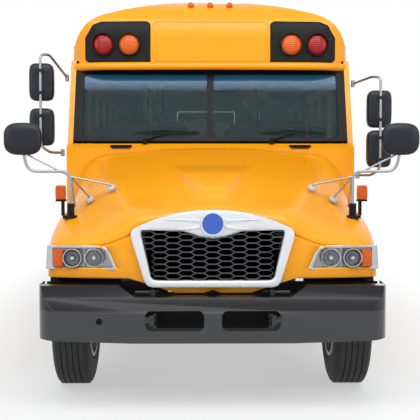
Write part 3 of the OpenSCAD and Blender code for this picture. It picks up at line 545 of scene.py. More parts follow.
# Distance back from the hood's front, then x and z of its crown, panel edge, panel foot, crease, valley,
# shoulder and side
HOOD_LINES = np.array([
    [0.00, 0, 1.385, 0.10, 1.383, 0.17, 1.372, 0.52, 1.325, 0.74, 1.175, 1.09, 1.150, 1.165, 1.085],
    [0.12, 0, 1.425, 0.12, 1.422, 0.19, 1.408, 0.58, 1.372, 0.80, 1.225, 1.11, 1.195, 1.180, 1.120],
    [0.34, 0, 1.505, 0.18, 1.500, 0.25, 1.480, 0.66, 1.440, 0.89, 1.300, 1.12, 1.270, 1.190, 1.180],
    [0.62, 0, 1.600, 0.27, 1.592, 0.34, 1.575, 0.75, 1.535, 0.98, 1.385, 1.13, 1.325, 1.190, 1.230],
    [0.96, 0, 1.705, 0.34, 1.697, 0.41, 1.682, 0.83, 1.640, 1.04, 1.500, 1.135, 1.345, 1.188, 1.240],
    [1.36, 0, 1.825, 0.40, 1.818, 0.47, 1.806, 0.94, 1.765, 1.09, 1.640, 1.140, 1.380, 1.180, 1.250]])
CORNER_SOFTNESS = (0.0, 0.25, 0.25, 0.22, 0.5, 0.5, 0.5)


def smooth_table(table, at):
    """Each column of a table of stations, as a smooth curve through them (Catmull-Rom slopes)."""
    x = table[:, 0]
    i = np.clip(np.searchsorted(x, at, side="right") - 1, 0, len(x) - 2)
    t = ((at - x[i]) / (x[i + 1] - x[i]))[:, None]
    slope = np.gradient(table, x, axis=0)
    w = (x[i + 1] - x[i])[:, None]
    a, b = table[i], table[i + 1]
    h1, h2 = 2 * t ** 3 - 3 * t ** 2 + 1, t ** 3 - 2 * t ** 2 + t
    return h1 * a + h2 * w * slope[i] + (1 - h1) * b + (t ** 3 - t ** 2) * w * slope[i + 1]


def rounded_line(corners, softness, steps=5):
    """A line through corners (rings, corners, 2) with each inner corner replaced by a curve."""
    t = np.linspace(0, 1, steps)[None, :, None]
    out = [corners[:, :1]]
    for k in range(1, corners.shape[1] - 1):
        c = corners[:, k:k + 1]
        p = c + softness[k] * (corners[:, k - 1:k] - c)
        q = c + softness[k] * (corners[:, k + 1:k + 2] - c)
        out.append((1 - t) ** 2 * p + 2 * t * (1 - t) * c + t ** 2 * q)
    out.append(corners[:, -1:])
    return np.concatenate(out, 1)


def sweep_back(x):
    """How far the nose falls back towards its corners, seen from above."""
    return 0.085 * np.clip((np.abs(x) - 0.5) / 0.67, 0, 1) ** 2.4


HOOD_BOTTOM = 0.895
REAR_FOOT = 0.63
nose = 0.05
turn_steps = np.linspace(0, pi / 2, 6)
back_from_front = np.concatenate([nose * (1 - np.sin(turn_steps[::-1])),
                                  np.linspace(nose, HOOD_LENGTH, 56)[1:]])
inset = np.concatenate([nose * (1 - np.cos(turn_steps[::-1])), np.zeros(55)])
stations = smooth_table(HOOD_LINES, back_from_front)
corner_points = stations[:, 1:].reshape(len(stations), 7, 2)
from_axle = HOOD_FRONT + back_from_front + 0.04 - FRONT_AXLE
arch_top = TYRE_R + np.sqrt(np.clip(ARCH_R ** 2 - from_axle ** 2, 0, None))
floor_line = np.where(from_axle < 0, HOOD_BOTTOM, REAR_FOOT)
floor_line = np.maximum(floor_line, np.where(np.abs(from_axle) < ARCH_R, arch_top, 0))
foot_z = np.minimum(floor_line, corner_points[:, 6, 1] - 0.03)
foot = np.stack([corner_points[:, 6, 0], foot_z], -1)[:, None]
half = rounded_line(np.concatenate([corner_points, foot], 1), (*CORNER_SOFTNESS, 0))
side_rows = np.linspace(0, 1, 7)[None, 1:-1, None]
side_fill = half[:, -2:-1] * (1 - side_rows) + half[:, -1:] * side_rows
half = np.concatenate([half[:, :-1], side_fill, half[:, -1:]], 1)
half = half - inset[:, None, None] * np.stack([np.clip(half[..., 0] / 0.6, 0, 1),
                                               np.clip((half[..., 1] - 0.95) / 0.2, 0, 1)], -1)
thirds = [half[:, :-1] * (1 - t) + half[:, 1:] * t for t in (0, 1 / 3, 2 / 3)]
half = np.concatenate([np.stack(thirds, 2).reshape(len(half), -1, 2), half[:, -1:]], 1)


def ease(value, low, high):
    """0 below low, 1 above high, smooth between."""
    t = np.clip((value - low) / (high - low), 0, 1)
    return t * t * (3 - 2 * t)


along = back_from_front[:, None]
scoop_half = 0.10 + 0.34 * (along - 0.2)
scoop = 1 - ease(half[..., 0], scoop_half - 0.03, scoop_half + 0.008)
scoop = scoop * ease(along, 0.2, 0.27) * (1 - ease(along, 0.55, 0.95))
SCOOP_RISE = 0.042
half[..., 1] += SCOOP_RISE * scoop
ring = np.concatenate([half[:, ::-1], (half * (-1, 1))[:, 1:]], 1)
depth = HOOD_FRONT + along + sweep_back(ring[..., 0]) * np.exp(-along / 0.5)
hood_points = np.stack([ring[..., 0], depth, ring[..., 1]], -1)
hood_shape = Shape().add(hood_points, quads(*hood_points.shape[:2]))

# The nose's face, between the ring's front edge and the openings for the grille and the headlamps
LAMP_MID = (0.93, 1.04)
HEADLAMP = np.array([(0.79, 1.108), (0.757, 1.095), (0.738, 1.07), (0.695, 0.968), (1.13, 0.968),
                     (1.13, 1.108)])


def reach(outline, centre, angles):
    """Distance from a centre to a closed outline along each angle."""
    a = np.array(outline, float) - centre
    b = np.roll(a, -1, 0)
    d = np.stack([np.cos(angles), np.sin(angles)], -1)[:, None]
    e = (b - a)[None]
    cross = d[..., 0] * e[..., 1] - d[..., 1] * e[..., 0]
    cross = np.where(np.abs(cross) < 1e-12, 1e-12, cross)
    r = (a[None, :, 0] * e[..., 1] - a[None, :, 1] * e[..., 0]) / cross
    u = (a[None, :, 0] * d[..., 1] - a[None, :, 1] * d[..., 0]) / cross
    return np.where((u >= -1e-9) & (u <= 1 + 1e-9) & (r > 0), r, 1e9).min(1)


def collar(inner, outer, centre, depth_of, steps=9, sides=160):
    """A face with a hole: rays from the centre, from the hole's outline to the outer outline."""
    angles = np.linspace(0, tau, sides, endpoint=False)
    r0, r1 = reach(inner, centre, angles), reach(outer, centre, angles)
    r = r0[None] + (r1 - r0)[None] * np.linspace(0, 1, steps)[:, None]
    x, z = centre[0] + r * np.cos(angles), centre[1] + r * np.sin(angles)
    return np.stack([x, depth_of(x), z], -1), quads(steps, sides, True)


edge = half[0]
face_outline = np.concatenate([[(0, 0.795), (0.44, 0.795), (0.52, 0.865), (0.56, HOOD_BOTTOM)],
                               edge[::-1][edge[::-1][:, 1] > HOOD_BOTTOM - 0.005][::2]])
for side in (-1, 1):
    points, faces = collar(HEADLAMP, face_outline, LAMP_MID, lambda x: HOOD_FRONT + sweep_back(x))
    hood_shape.add(points * (side, 1, 1), faces if side > 0 else faces[:, ::-1])
hood_shape.make("hood_shell", "hood_body", [body_paint], "body_paint", ("hood",), 35, 0, 0.012)

# ---- Grille surround, grille and badge ----
# A moulded silver-white frame with a pair of raised wings at the top, a black honeycomb behind it, and a
# plain blue enamel disc in a thin bright rim.
SURROUND_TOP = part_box("grille_surround")[1].z
SURROUND_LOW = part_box("grille_surround")[0].z
SURROUND_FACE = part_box("grille_surround")[0].y


def slab(outline, y0, y1):
    """An outline of (x, z) points, counter-clockwise from the front, pushed back from y0 to y1."""
    outline = np.array(outline, float)
    n = len(outline)
    front = np.column_stack([outline[:, 0], np.full(n, y0), outline[:, 1]])
    back = front + (0, y1 - y0, 0)
    i = np.arange(n)
    sides = np.stack([i, n + i, n + (i + 1) % n, (i + 1) % n], -1)
    return np.concatenate([front, back]), [[list(range(n))], [list(range(2 * n - 1, n - 1, -1))], sides]


s = Shader("silver white paint")
silver_paint = s.finish(Base_Color=s.mix(s.noise(3.0), (0.74, 0.76, 0.79), (0.68, 0.7, 0.73)),
                        Metallic=0.25, Roughness=spread(s, 0.22, 0.32), Coat_Weight=0.5)


def arch_line(half_width, top, drop, steps=24):
    """The top edge: a shallow arch from side to side."""
    x = np.linspace(half_width, -half_width, steps)
    return np.column_stack([x, top - drop * np.abs(x / half_width) ** 2.2])


top_edge = arch_line(0.555, SURROUND_TOP, 0.13)
left_edge = np.array([(-0.572, 1.215), (-0.566, 1.17), (-0.475, 0.875), (-0.455, 0.845),
                      (-0.42, SURROUND_LOW)])
outer = np.concatenate([top_edge, left_edge, left_edge[::-1] * (-1, 1)])
opening_left = np.array([(-0.08, 1.185), (-0.2, 1.225), (-0.49, 1.235), (-0.5, 1.215), (-0.43, 0.905),
                         (-0.405, 0.885)])
opening = np.concatenate([[(0, 1.175)], opening_left, opening_left[::-1] * (-1, 1)])
centre = (0.0, 1.06)
angles = np.linspace(0, tau, 220, endpoint=False)
r_out, r_in = reach(outer, centre, angles), reach(opening, centre, angles)
across = np.array([(0.0, 0.05), (0.0, 0.012), (0.03, 0.002), (0.1, 0.0), (0.55, 0.0), (0.85, 0.004),
                   (0.95, 0.014), (1.0, 0.03), (1.0, 0.06)])
r = r_out[None] + (r_in - r_out)[None] * across[:, :1]
x, z = centre[0] + r * np.cos(angles), centre[1] + r * np.sin(angles)
y = SURROUND_FACE + across[:, 1:] * 0.8 + 0 * x
wings = Shape()
for blade in ([(0.09, 1.292), (0.20, 1.302), (0.345, 1.308), (0.21, 1.313), (0.09, 1.312)],
              [(0.085, 1.250), (0.16, 1.240), (0.265, 1.243), (0.17, 1.256), (0.09, 1.270)]):
    wings.add(*slab(blade, SURROUND_FACE - 0.007, SURROUND_FACE + 0.006))
wings.mirrored().make("surround_wings", "hood_body", [silver_paint], "surround_paint", (), 30, 0.003)
Shape().add(np.stack([x, y, z], -1), quads(len(across), 220, True)[:, ::-1]).make(
    "grille_surround_frame", "hood_body", [silver_paint], "surround_paint", ("grille_surround",), 50)

CELL_W, CELL_H = 0.092, 0.042
s = Shader("grille grey")
grille_grey = s.finish(Base_Color=s.mix(s.noise(12.0), (0.05, 0.052, 0.056), (0.085, 0.087, 0.092)),
                       Roughness=spread(s, 0.3, 0.45, 9.0))


def hexagon(scale):
    """A long flat cell narrowed by its scale: flat edges above and below, points at the sides."""
    corners = np.array([(-0.5, 0), (-0.26, -0.5), (0.26, -0.5), (0.5, 0), (0.26, 0.5), (-0.26, 0.5)])
    return corners * (CELL_W * 1.316 - 0.05 * (1 - scale), CELL_H * scale)


columns, rows = np.meshgrid(np.arange(-5, 6), np.arange(-5, 6), indexing="ij")
cell_x = (columns * CELL_W).ravel()
cell_z = (1.06 + rows * CELL_H + np.where(columns % 2, CELL_H / 2, 0)).ravel()
room = np.stack([cell_x, cell_z], -1)
OPENING_LOW, OPENING_HIGH = 0.885, 1.235
half_at = 0.43 + (cell_z - OPENING_LOW) / (OPENING_HIGH - OPENING_LOW) * 0.07
inside = (cell_z > OPENING_LOW - 0.015) & (cell_z < OPENING_HIGH + 0.01)
room = room[(np.abs(cell_x) < half_at - 0.015) & inside]
grille_y = SURROUND_FACE + 0.012
layers = [(1.0, 0.0), (0.86, 0.0), (0.83, 0.003), (0.8, 0.022)]
cell = np.stack([np.concatenate([hexagon(k), np.full((6, 1), d)], 1) for k, d in layers])
across_x = room[:, None, None, 0] + cell[..., 0]
cell_y = grille_y + cell[..., 2] + 0 * across_x
cells = np.stack([across_x, cell_y, room[:, None, None, 1] + cell[..., 1]], -1)
one = quads(4, 6, True)
Shape().add(cells, np.concatenate([one[:, ::-1] + 24 * i for i in range(len(room))])).make(
    "grille_honeycomb", "hood_body", [grille_grey], "black_trim", ("grille",), 30)
# Painted shade: a flat black sheet behind the honeycomb stands in for the dark space seen through the mesh.
grille_shade_outline = [(-0.445, 0.86), (0.445, 0.86), (0.52, 1.22), (0.4, 1.26), (-0.4, 1.26), (-0.52, 1.22)]
Shape().add(*slab(grille_shade_outline, grille_y + 0.026, grille_y + 0.034)).make(
    "grille_shade_sheet", "hood_body", [black_plastic], "black_trim")

s = Shader("blue enamel")
x_, y_, z_ = s.axes()
badge_low, badge_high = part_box("badge")
badge_mid = (badge_low + badge_high) / 2
BADGE_R = (badge_high.x - badge_low.x) / 2
away = (x_ * x_ + (z_ - badge_mid.z) * (z_ - badge_mid.z)).math("SQRT")
rim = away > BADGE_R * 0.87
badge_paint = s.finish(Base_Color=s.mix(rim, (0.01, 0.075, 0.46), (0.75, 0.77, 0.8)),
                       Roughness=spread(s, 0.12, 0.2), Metallic=rim * 0.6, Coat_Weight=0.8)
disc = np.array([(0, 0.02), (0.55, 0.0185), (0.86, 0.014), (0.9, 0.016), (0.97, 0.016), (1, 0.01),
                 (1, -0.004)])
disc = disc * (BADGE_R, 1)
Shape().add(*turned(disc, (0, badge_high.y, badge_mid.z), (0, -1, 0), 72)).make(
    "badge_disc", "hood_body", [badge_paint], "badge_blue", ("badge",), 50)

# ---- Headlamps ----
# A chrome-edged housing let into each nose corner: two reflector bowls, an amber turn lamp outboard, and
# a clear lens over all.
HEADLAMP_OUTER = np.array([(0.785, 1.124), (0.745, 1.108), (0.722, 1.078), (0.669, 0.952), (1.178, 0.952),
                           (1.168, 1.124)])
s = Shader("chrome")
chrome = s.finish(Base_Color=s.mix(s.noise(25.0), (0.6, 0.61, 0.63), (0.44, 0.45, 0.48)), Metallic=1.0,
                  Roughness=spread(s, 0.06, 0.16, 12.0))
s = Shader("lamp glass")
lamp_glass = s.finish(Base_Color=s.mix(s.noise(6.0), (0.2, 0.23, 0.25), (0.3, 0.33, 0.35)), Roughness=0.04,
                      Alpha=0.22, Coat_Weight=0.5)


def fill(outline, centre, depth_of, steps=7, sides=160):
    """A face filling an outline: rings growing from the centre, at the depth given for each x."""
    angles = np.linspace(0, tau, sides, endpoint=False)
    r = reach(outline, centre, angles)[None] * np.linspace(0.001, 1, steps)[:, None]
    x, z = centre[0] + r * np.cos(angles), centre[1] + r * np.sin(angles)
    return np.stack([x, depth_of(x), z], -1), quads(steps, sides, True)


def nose_at(proud):
    """Depth of the nose's swept face at each x, standing proud of it."""
    return lambda x: HOOD_FRONT + sweep_back(x) - proud


lamp_parts = Shape()
points, faces = collar(HEADLAMP, HEADLAMP_OUTER, LAMP_MID, nose_at(0.012), 5)
lamp_parts.add(points, faces)
back_plate, faces = fill(HEADLAMP, LAMP_MID, nose_at(-0.055))
lamp_parts.add(back_plate, faces, 1)
rim_points, faces = collar(HEADLAMP, HEADLAMP, LAMP_MID, nose_at(0.012), 2)
rim_points[1, :, 1] += 0.067
lamp_parts.add(rim_points, faces, 1)
bowl = [(0.004, 0.0), (0.03, 0.004), (0.05, 0.018), (0.06, 0.045), (0.066, 0.046), (0.066, 0.0)]
bulb_cap = [(0.0, 0.05), (0.012, 0.047), (0.017, 0.036), (0.017, 0.0)]
for x in (0.832, 0.985):
    lamp_parts.add(*turned(bowl, (x, HOOD_FRONT + 0.052, 1.037), (0, -1, 0), 40))
    lamp_parts.add(*turned(bulb_cap, (x, HOOD_FRONT + 0.05, 1.037), (0, -1, 0), 20), 1)
lamp_parts.add(*box((1.055, HOOD_FRONT + 0.03, 0.975), (1.122, HOOD_FRONT + 0.1, 1.088)), 2)
lamp_parts.add(*box((0.9, HOOD_FRONT + 0.035, 0.975), (0.91, HOOD_FRONT + 0.06, 1.1)))
lamp_parts.mirrored()
lamp_parts.make("headlamp_housings", "hood_body", [chrome, bright_steel, amber_lens], "lamp_clear",
                ("headlamps",), 40, 0, 0.004)
lens = Shape().add(*fill(HEADLAMP_OUTER, LAMP_MID, nose_at(0.008), 5)).mirrored()
lens.make("headlamp_lenses", "hood_body", [lamp_glass], "glass", (), 60, 0, 0.003)

# ---- Front cap, brow and warning lamps ----
# The yellow moulded cap carries two black lamp panels with red and amber lamps under short visors, a bare
# yellow panel between them, a brow over the windshield and three small marker lamps on the roof edge.


def softened(node, body, material, bevel):
    """A copy of a CAD node with its seams joined and its edges rounded, standing for the node."""
    piece = nodes[node].copy()
    piece.data = nodes[node].data.copy()
    piece.name = node + "_shell"
    piece.parent = None
    for key in list(piece.keys()):
        del piece[key]
    scene.collection.objects.link(piece)
    piece.data.materials.clear()
    piece.data.materials.append(material)
    if piece.data.has_custom_normals:
        bpy.context.view_layer.objects.active = piece
        bpy.ops.mesh.customdata_custom_splitnormals_clear()
    merge = bmesh.new()
    merge.from_mesh(piece.data)
    bmesh.ops.remove_doubles(merge, verts=merge.verts, dist=1e-5)
    bmesh.ops.dissolve_limit(merge, angle_limit=radians(1), verts=merge.verts, edges=merge.edges)
    merge.to_mesh(piece.data)
    merge.free()
    return dressed(piece, body, (node,), 30, bevel)


def tube(path, radius, sides=14, bend=0.0):
    """A round bar along a path, with its corners rounded to the bend radius, closed at both ends."""
    path = np.array(path, float)
    if bend:
        dense = [path[:1]]
        for a, b, c in zip(path[:-2], path[1:-1], path[2:]):
            back, on = a - b, c - b
            cut = min(bend, 0.45 * np.linalg.norm(back), 0.45 * np.linalg.norm(on))
            p, q = b + back / np.linalg.norm(back) * cut, b + on / np.linalg.norm(on) * cut
            t = np.linspace(0, 1, 7)[:, None]
            dense.append((1 - t) ** 2 * p + 2 * t * (1 - t) * b + t ** 2 * q)
        path = np.concatenate(dense + [path[-1:]])
    along = np.gradient(path, axis=0)
    along /= np.linalg.norm(along, axis=1)[:, None]
    guide = np.array((0.31, 0.17, 0.93))
    side = np.cross(along, guide)
    side /= np.linalg.norm(side, axis=1)[:, None]
    other = np.cross(along, side)
    a = np.linspace(0, tau, sides, endpoint=False)
    ring = np.cos(a)[None, :, None] * side[:, None] + np.sin(a)[None, :, None] * other[:, None]
    radius = np.broadcast_to(np.asarray(radius, float), (len(path),))
    points = path[:, None] + ring * radius[:, None, None]
    start = np.arange(sides)[None]
    end = start[:, ::-1] + (len(path) - 1) * sides
    return points.reshape(-1, 3), [quads(len(path), sides, True)[:, ::-1], start, end]


softened("front_cap", "body", body_paint, 0.004)
CAP_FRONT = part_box("front_cap")[0].y
CAP_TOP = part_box("front_cap")[1].z
CAP_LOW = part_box("front_cap")[0].z


def on_cap(points, proud):
    """Lays (x, any, z) points on the cap, at the deeper of its plan round and its brow round."""
    dx = np.clip(np.abs(points[..., 0]) - 0.96, 0, 0.25)
    dz = np.clip(points[..., 2] - (CAP_TOP - 0.33), 0, 0.32)
    depth = np.maximum(0.26 - np.sqrt(0.26 ** 2 - dx ** 2), 0.33 - np.sqrt(0.33 ** 2 - dz ** 2))
    points[..., 1] = CAP_FRONT + depth - proud
    return points


panel_top = CAP_LOW + 0.40
PANEL = np.array([(0.52, CAP_LOW + 0.045), (1.06, CAP_LOW + 0.045), (1.09, CAP_LOW + 0.07),
                  (1.09, panel_top - 0.14), (1.02, panel_top - 0.03), (0.95, panel_top),
                  (0.55, panel_top + 0.005), (0.52, panel_top - 0.02)])
panels = Shape()
points, faces = fill(PANEL, (0.8, CAP_LOW + 0.21), lambda x: x * 0, 14, 120)
panels.add(on_cap(points, 0.004), faces)
panels.mirrored().make("warning_lamp_panels", "body", [black_plastic], "black_trim", (), 30, 0, 0.006)
lenses = Shape()
LAMP_R = 0.088
lens_profile = [(0.0, 0.03), (0.03, 0.0285), (0.06, 0.022), (0.078, 0.012), (LAMP_R, 0.006),
                (LAMP_R, -0.03)]
visor_in, visor_out = LAMP_R + 0.004, LAMP_R + 0.009
visor = [(visor_in, -0.01), (visor_in, 0.03), (visor_out, 0.03), (visor_out, -0.01)]
lamp_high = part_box("warning_lamps")[1]
for mark, x in enumerate((0.93, 0.705)):
    for y, z, out in ((CAP_FRONT - 0.004, 2.73, -1), (lamp_high.y - 0.02, 2.70, 1)):
        lenses.add(*turned(lens_profile, (x, y, z), (0, out, 0), 48), mark)
        lenses.add(*turned(visor, (x, y, z), (0, out, 0), 48), 2)
lenses.mirrored().make("warning_lamp_lenses", "body", [red_lens, amber_lens, black_plastic], "lamp_red",
                       ("warning_lamps",), 40)
brow_half = np.array([(1.21, CAP_FRONT + 0.5, CAP_LOW + 0.012), (1.21, CAP_FRONT + 0.12, CAP_LOW + 0.012),
                      (1.0, CAP_FRONT - 0.012, CAP_LOW + 0.012)])
brow_mid = (0, CAP_FRONT - 0.016, CAP_LOW + 0.016)
brow_path = np.concatenate([brow_half, [brow_mid], brow_half[::-1] * (-1, 1, 1)])
brow = Shape().add(*tube(brow_path, 0.034, 16, 0.16))
sign_edge = rounded((-0.5, CAP_LOW + 0.06), (0.5, CAP_LOW + 0.4), 0.05)
sign_points = on_cap(np.column_stack([sign_edge[:, 0], sign_edge[:, 0] * 0, sign_edge[:, 1]]), 0.0)
brow.add(*tube(np.concatenate([sign_points, sign_points[:1]]), 0.006, 8))
brow.make("cap_brow", "body", [body_paint], "body_paint", (), 60)
markers = Shape()
for x in (-0.17, 0.0, 0.17):
    markers.add(*turned([(0, 0.026), (0.014, 0.024), (0.024, 0.014), (0.028, 0.0), (0.028, -0.03)],
                        (x, CAP_FRONT + 0.135, CAP_TOP - 0.05), (0, -0.8, 0.6), 24))
for x in (-1.195, 1.195):
    markers.add(*turned([(0, 0.022), (0.012, 0.02), (0.02, 0.01), (0.022, 0.0), (0.022, -0.03)],
                        (x, CAP_FRONT + 0.24, CAP_LOW + 0.2), (x, -0.5, 0.2), 20))
markers.make("marker_lamps", "body", [amber_lens], "lamp_amber", (), 50)

# ---- Windshield surround, cowl and wipers ----
# Two leaning panes in a black rubber-set frame, with a blue band along the top of the glass. Vents are let
# into the cowl, and the spindles of the two wipers come up through it.
s = Shader("window glass")
clear_glass = s.finish(Base_Color=s.mix(s.noise(0.8), (0.01, 0.04, 0.045), (0.016, 0.055, 0.06)),
                       Roughness=0.03, Alpha=0.26, Specular_IOR_Level=0.2)
repaint(clear_glass, "windshield")
softened("windshield_frame", "body", black_plastic, 0.006)
shield_low, shield_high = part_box("windshield")
SHIELD_LEAN = (shield_high.y - shield_low.y) / (shield_high.z - shield_low.z)


def on_shield(x, z, proud):
    """A point on the windshield's outer face at this height, standing proud of it."""
    return (x, shield_low.y + (z - shield_low.z) * SHIELD_LEAN - proud, z)


s = Shader("tint band")
x_, y_, z_ = s.axes()
fade = ((z_ - (shield_high.z - 0.16)) * 9.0).math("MAXIMUM", 0.0).math("MINIMUM", 0.85)
tint_band = s.finish(Base_Color=s.mix(s.noise(2.0), (0.01, 0.09, 0.2), (0.02, 0.13, 0.25)), Roughness=0.05,
                     Alpha=fade)
band = Shape()
BLOCK = [[0, 1, 2, 3], [7, 6, 5, 4], [0, 4, 5, 1], [1, 5, 6, 2], [2, 6, 7, 3], [3, 7, 4, 0]]
band_low, band_high = shield_high.z - 0.17, shield_high.z - 0.01
for x0, x1 in ((-1.1, -0.03), (0.03, 1.1)):
    corners = [on_shield(x, z, proud) for proud in (0.012, 0.009) for x, z in
               ((x0, band_low), (x1, band_low), (x1, band_high), (x0, band_high))]
    band.add(corners, [BLOCK])
band.make("windshield_band", "body", [tint_band], "glass")
vents = Shape()
cowl_low, cowl_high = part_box("cowl")
for x in (-0.76, 0.76):
    vents.add(*box((x - 0.09, cowl_low.y + 0.004, cowl_high.z - 0.052),
                   (x + 0.09, cowl_low.y + 0.06, cowl_high.z - 0.012)))
    for slat in cowl_high.z - 0.048 + 0.007 * np.arange(5):
        vents.add(*box((x - 0.08, cowl_low.y - 0.004, slat), (x + 0.08, cowl_low.y + 0.01, slat + 0.003)))
vents.make("cowl_vents", "body", [black_plastic], "black_trim", (), 30, 0.001)
wiper = Shape()
wiper_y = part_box("wipers")[0].y + 0.03
WIPER_REACH = 0.19
BLADE_LOW, YOKE_Z, BLADE_HIGH = 1.955, 1.965, 1.972
yoke_steps = np.linspace(-0.27, 0.27, 9)
for spindle in (-0.56, 0.52):
    middle = spindle + WIPER_REACH
    wiper.add(*turned([(0, 0.05), (0.014, 0.048), (0.02, 0.03), (0.02, 0)], (spindle, wiper_y, cowl_high.z),
                      (0, -0.3, 1), 20))
    arm = [(spindle, wiper_y, cowl_high.z + 0.03), on_shield(middle, YOKE_Z, 0.02)]
    wiper.add(*tube(arm, (0.011, 0.006), 10))
    yoke = [on_shield(middle + k, YOKE_Z + 0.02 * (1 - abs(k) / 0.3), 0.014) for k in yoke_steps]
    blade = [on_shield(middle + k, BLADE_LOW, 0.006) for k in np.linspace(-0.28, 0.28, 9)]
    wiper.add(*tube(yoke, 0.005, 8))
    wiper.add(*tube(blade, 0.004, 6))
    for x in middle + np.array((-0.18, -0.06, 0.06, 0.18)):
        wiper.add(*tube([on_shield(x, BLADE_LOW, 0.006), on_shield(x, BLADE_HIGH, 0.014)], 0.004, 6))
wiper.make("wiper_arms", "body", [black_plastic], "black_trim", ("wipers",), 40)

# ---- Front bumper ----
# Pressed steel on brackets from the rails, black, with a tow hook in each window. Its colour is near black
# above and a lighter grey-black below, which is a painted reflection of the floor. Flat black sheets stand
# in for the shade behind it as painted shade, and with the arch liners they close the space behind it.
s = Shader("bumper black")
x_, y_, z_ = s.axes()
# Painted reflection: near black above z 0.69 and a lighter grey-black below, standing in for the floor
# reflected in the lower face.
above_floor_reflection = ((z_ - 0.69) * 60.0).math("MAXIMUM", 0.0).math("MINIMUM", 1.0)
bumper_paint = s.finish(Base_Color=s.mix(above_floor_reflection, (0.035, 0.038, 0.041), (0.002, 0.002, 0.006)),
                        Roughness=spread(s, 0.16, 0.3, 5.0), Specular_IOR_Level=0.4, Coat_Weight=0.1)
softened("front_bumper", "body", bumper_paint, 0.012)
hooks = Shape()
for x in (-0.4, 0.4):
    a = np.linspace(-0.7 * pi, 0.65 * pi, 18)
    curl = np.column_stack([np.full(18, x), FRONT + 0.05 + 0.045 * np.cos(a), 0.63 + 0.045 * np.sin(a)])
    hooks.add(*tube(np.concatenate([[(x, FRONT + 0.25, 0.60)], curl]), 0.014, 12))
hooks.make("tow_hooks", "body", [frame_black], "chassis_black", (), 50)
# Painted shade: flat black sheets behind the bumper stand in for the dark shade between bumper, hood and
# wheels.
shade_slabs = Shape()
for x0, x1, z0, z1, back in ((-0.398, 0.398, 0.53, 0.79, 0.30), (0.40, 1.18, 0.60, 0.86, 0.352),
                             (-1.18, -0.40, 0.60, 0.86, 0.352)):
    shade_slabs.add(*slab([(x0, z0), (x1, z0), (x1, z1), (x0, z1)], FRONT + back, FRONT + back + 0.008))
shade_slabs.make("shade_panel", "body", [black_plastic], "black_trim", (), 30, 0.002)
LINER_R = ARCH_R - 0.008
liner_a, liner_x = np.meshgrid(np.linspace(radians(40), radians(168), 30), np.linspace(0.66, 1.172, 6),
                               indexing="ij")
arch_liner = np.stack([liner_x, FRONT_AXLE + LINER_R * np.cos(liner_a),
                       TYRE_R + LINER_R * np.sin(liner_a)], -1)
Shape().add(arch_liner, quads(30, 6)).mirrored().make(
    "arch_liners", "hood_body", [black_plastic], "black_trim", (), 60, 0, 0.004)

# ---- Mirrors ----
# Black moulded heads on bent steel tube, with mirror glass on the faces that look back; the crossview
# mirrors are ovals on posts with rubber bases, steadied by rods whose feet sit on the hood.
s = Shader("mirror glass")
mirror_glass = s.finish(Base_Color=s.mix(s.noise(4.0), (0.78, 0.8, 0.82), (0.7, 0.73, 0.76)), Metallic=1.0,
                        Roughness=spread(s, 0.02, 0.05))
s = Shader("mirror shell")
mirror_shell = s.finish(Base_Color=s.mix(s.noise(6.0), (0.006, 0.008, 0.013), (0.014, 0.017, 0.026)),
                        Roughness=spread(s, 0.28, 0.42, 8.0), Specular_IOR_Level=0.3)
s = Shader("tube steel")
tube_steel = s.finish(Base_Color=s.mix(s.noise(16.0), (0.42, 0.42, 0.43), (0.3, 0.3, 0.31)), Metallic=0.9,
                      Roughness=spread(s, 0.28, 0.42, 20.0))


def egg(centre, size, power=2.0, rows=20, sides=36):
    """A round-cornered body: sines and cosines raised to 2/power, so 2 is an oval and 5 almost a box."""
    def sharp(v):
        """The value raised to 2/power, with its sign kept."""
        return np.sign(v) * np.abs(v) ** (2 / power)
    u, v = np.meshgrid(np.linspace(-pi / 2, pi / 2, rows), np.linspace(0, tau, sides, endpoint=False),
                       indexing="ij")
    points = np.stack([sharp(np.cos(u)) * sharp(np.cos(v)), sharp(np.sin(u)),
                       sharp(np.cos(u)) * sharp(np.sin(v))], -1)
    return np.array(centre) + points * np.array(size) / 2, quads(rows, sides, True)


def head(centre, width, height):
    """A box-like mirror head and its glass, 130 mm deep."""
    x, y, z = centre
    shell = egg((x, y, z), (width, 0.13, height), 5.0, 18, 44)
    outline = rounded((x - width * 0.43, z - height * 0.45), (x + width * 0.43, z + height * 0.45), 0.035)
    return shell, slab(outline, y + 0.05, y + 0.069)


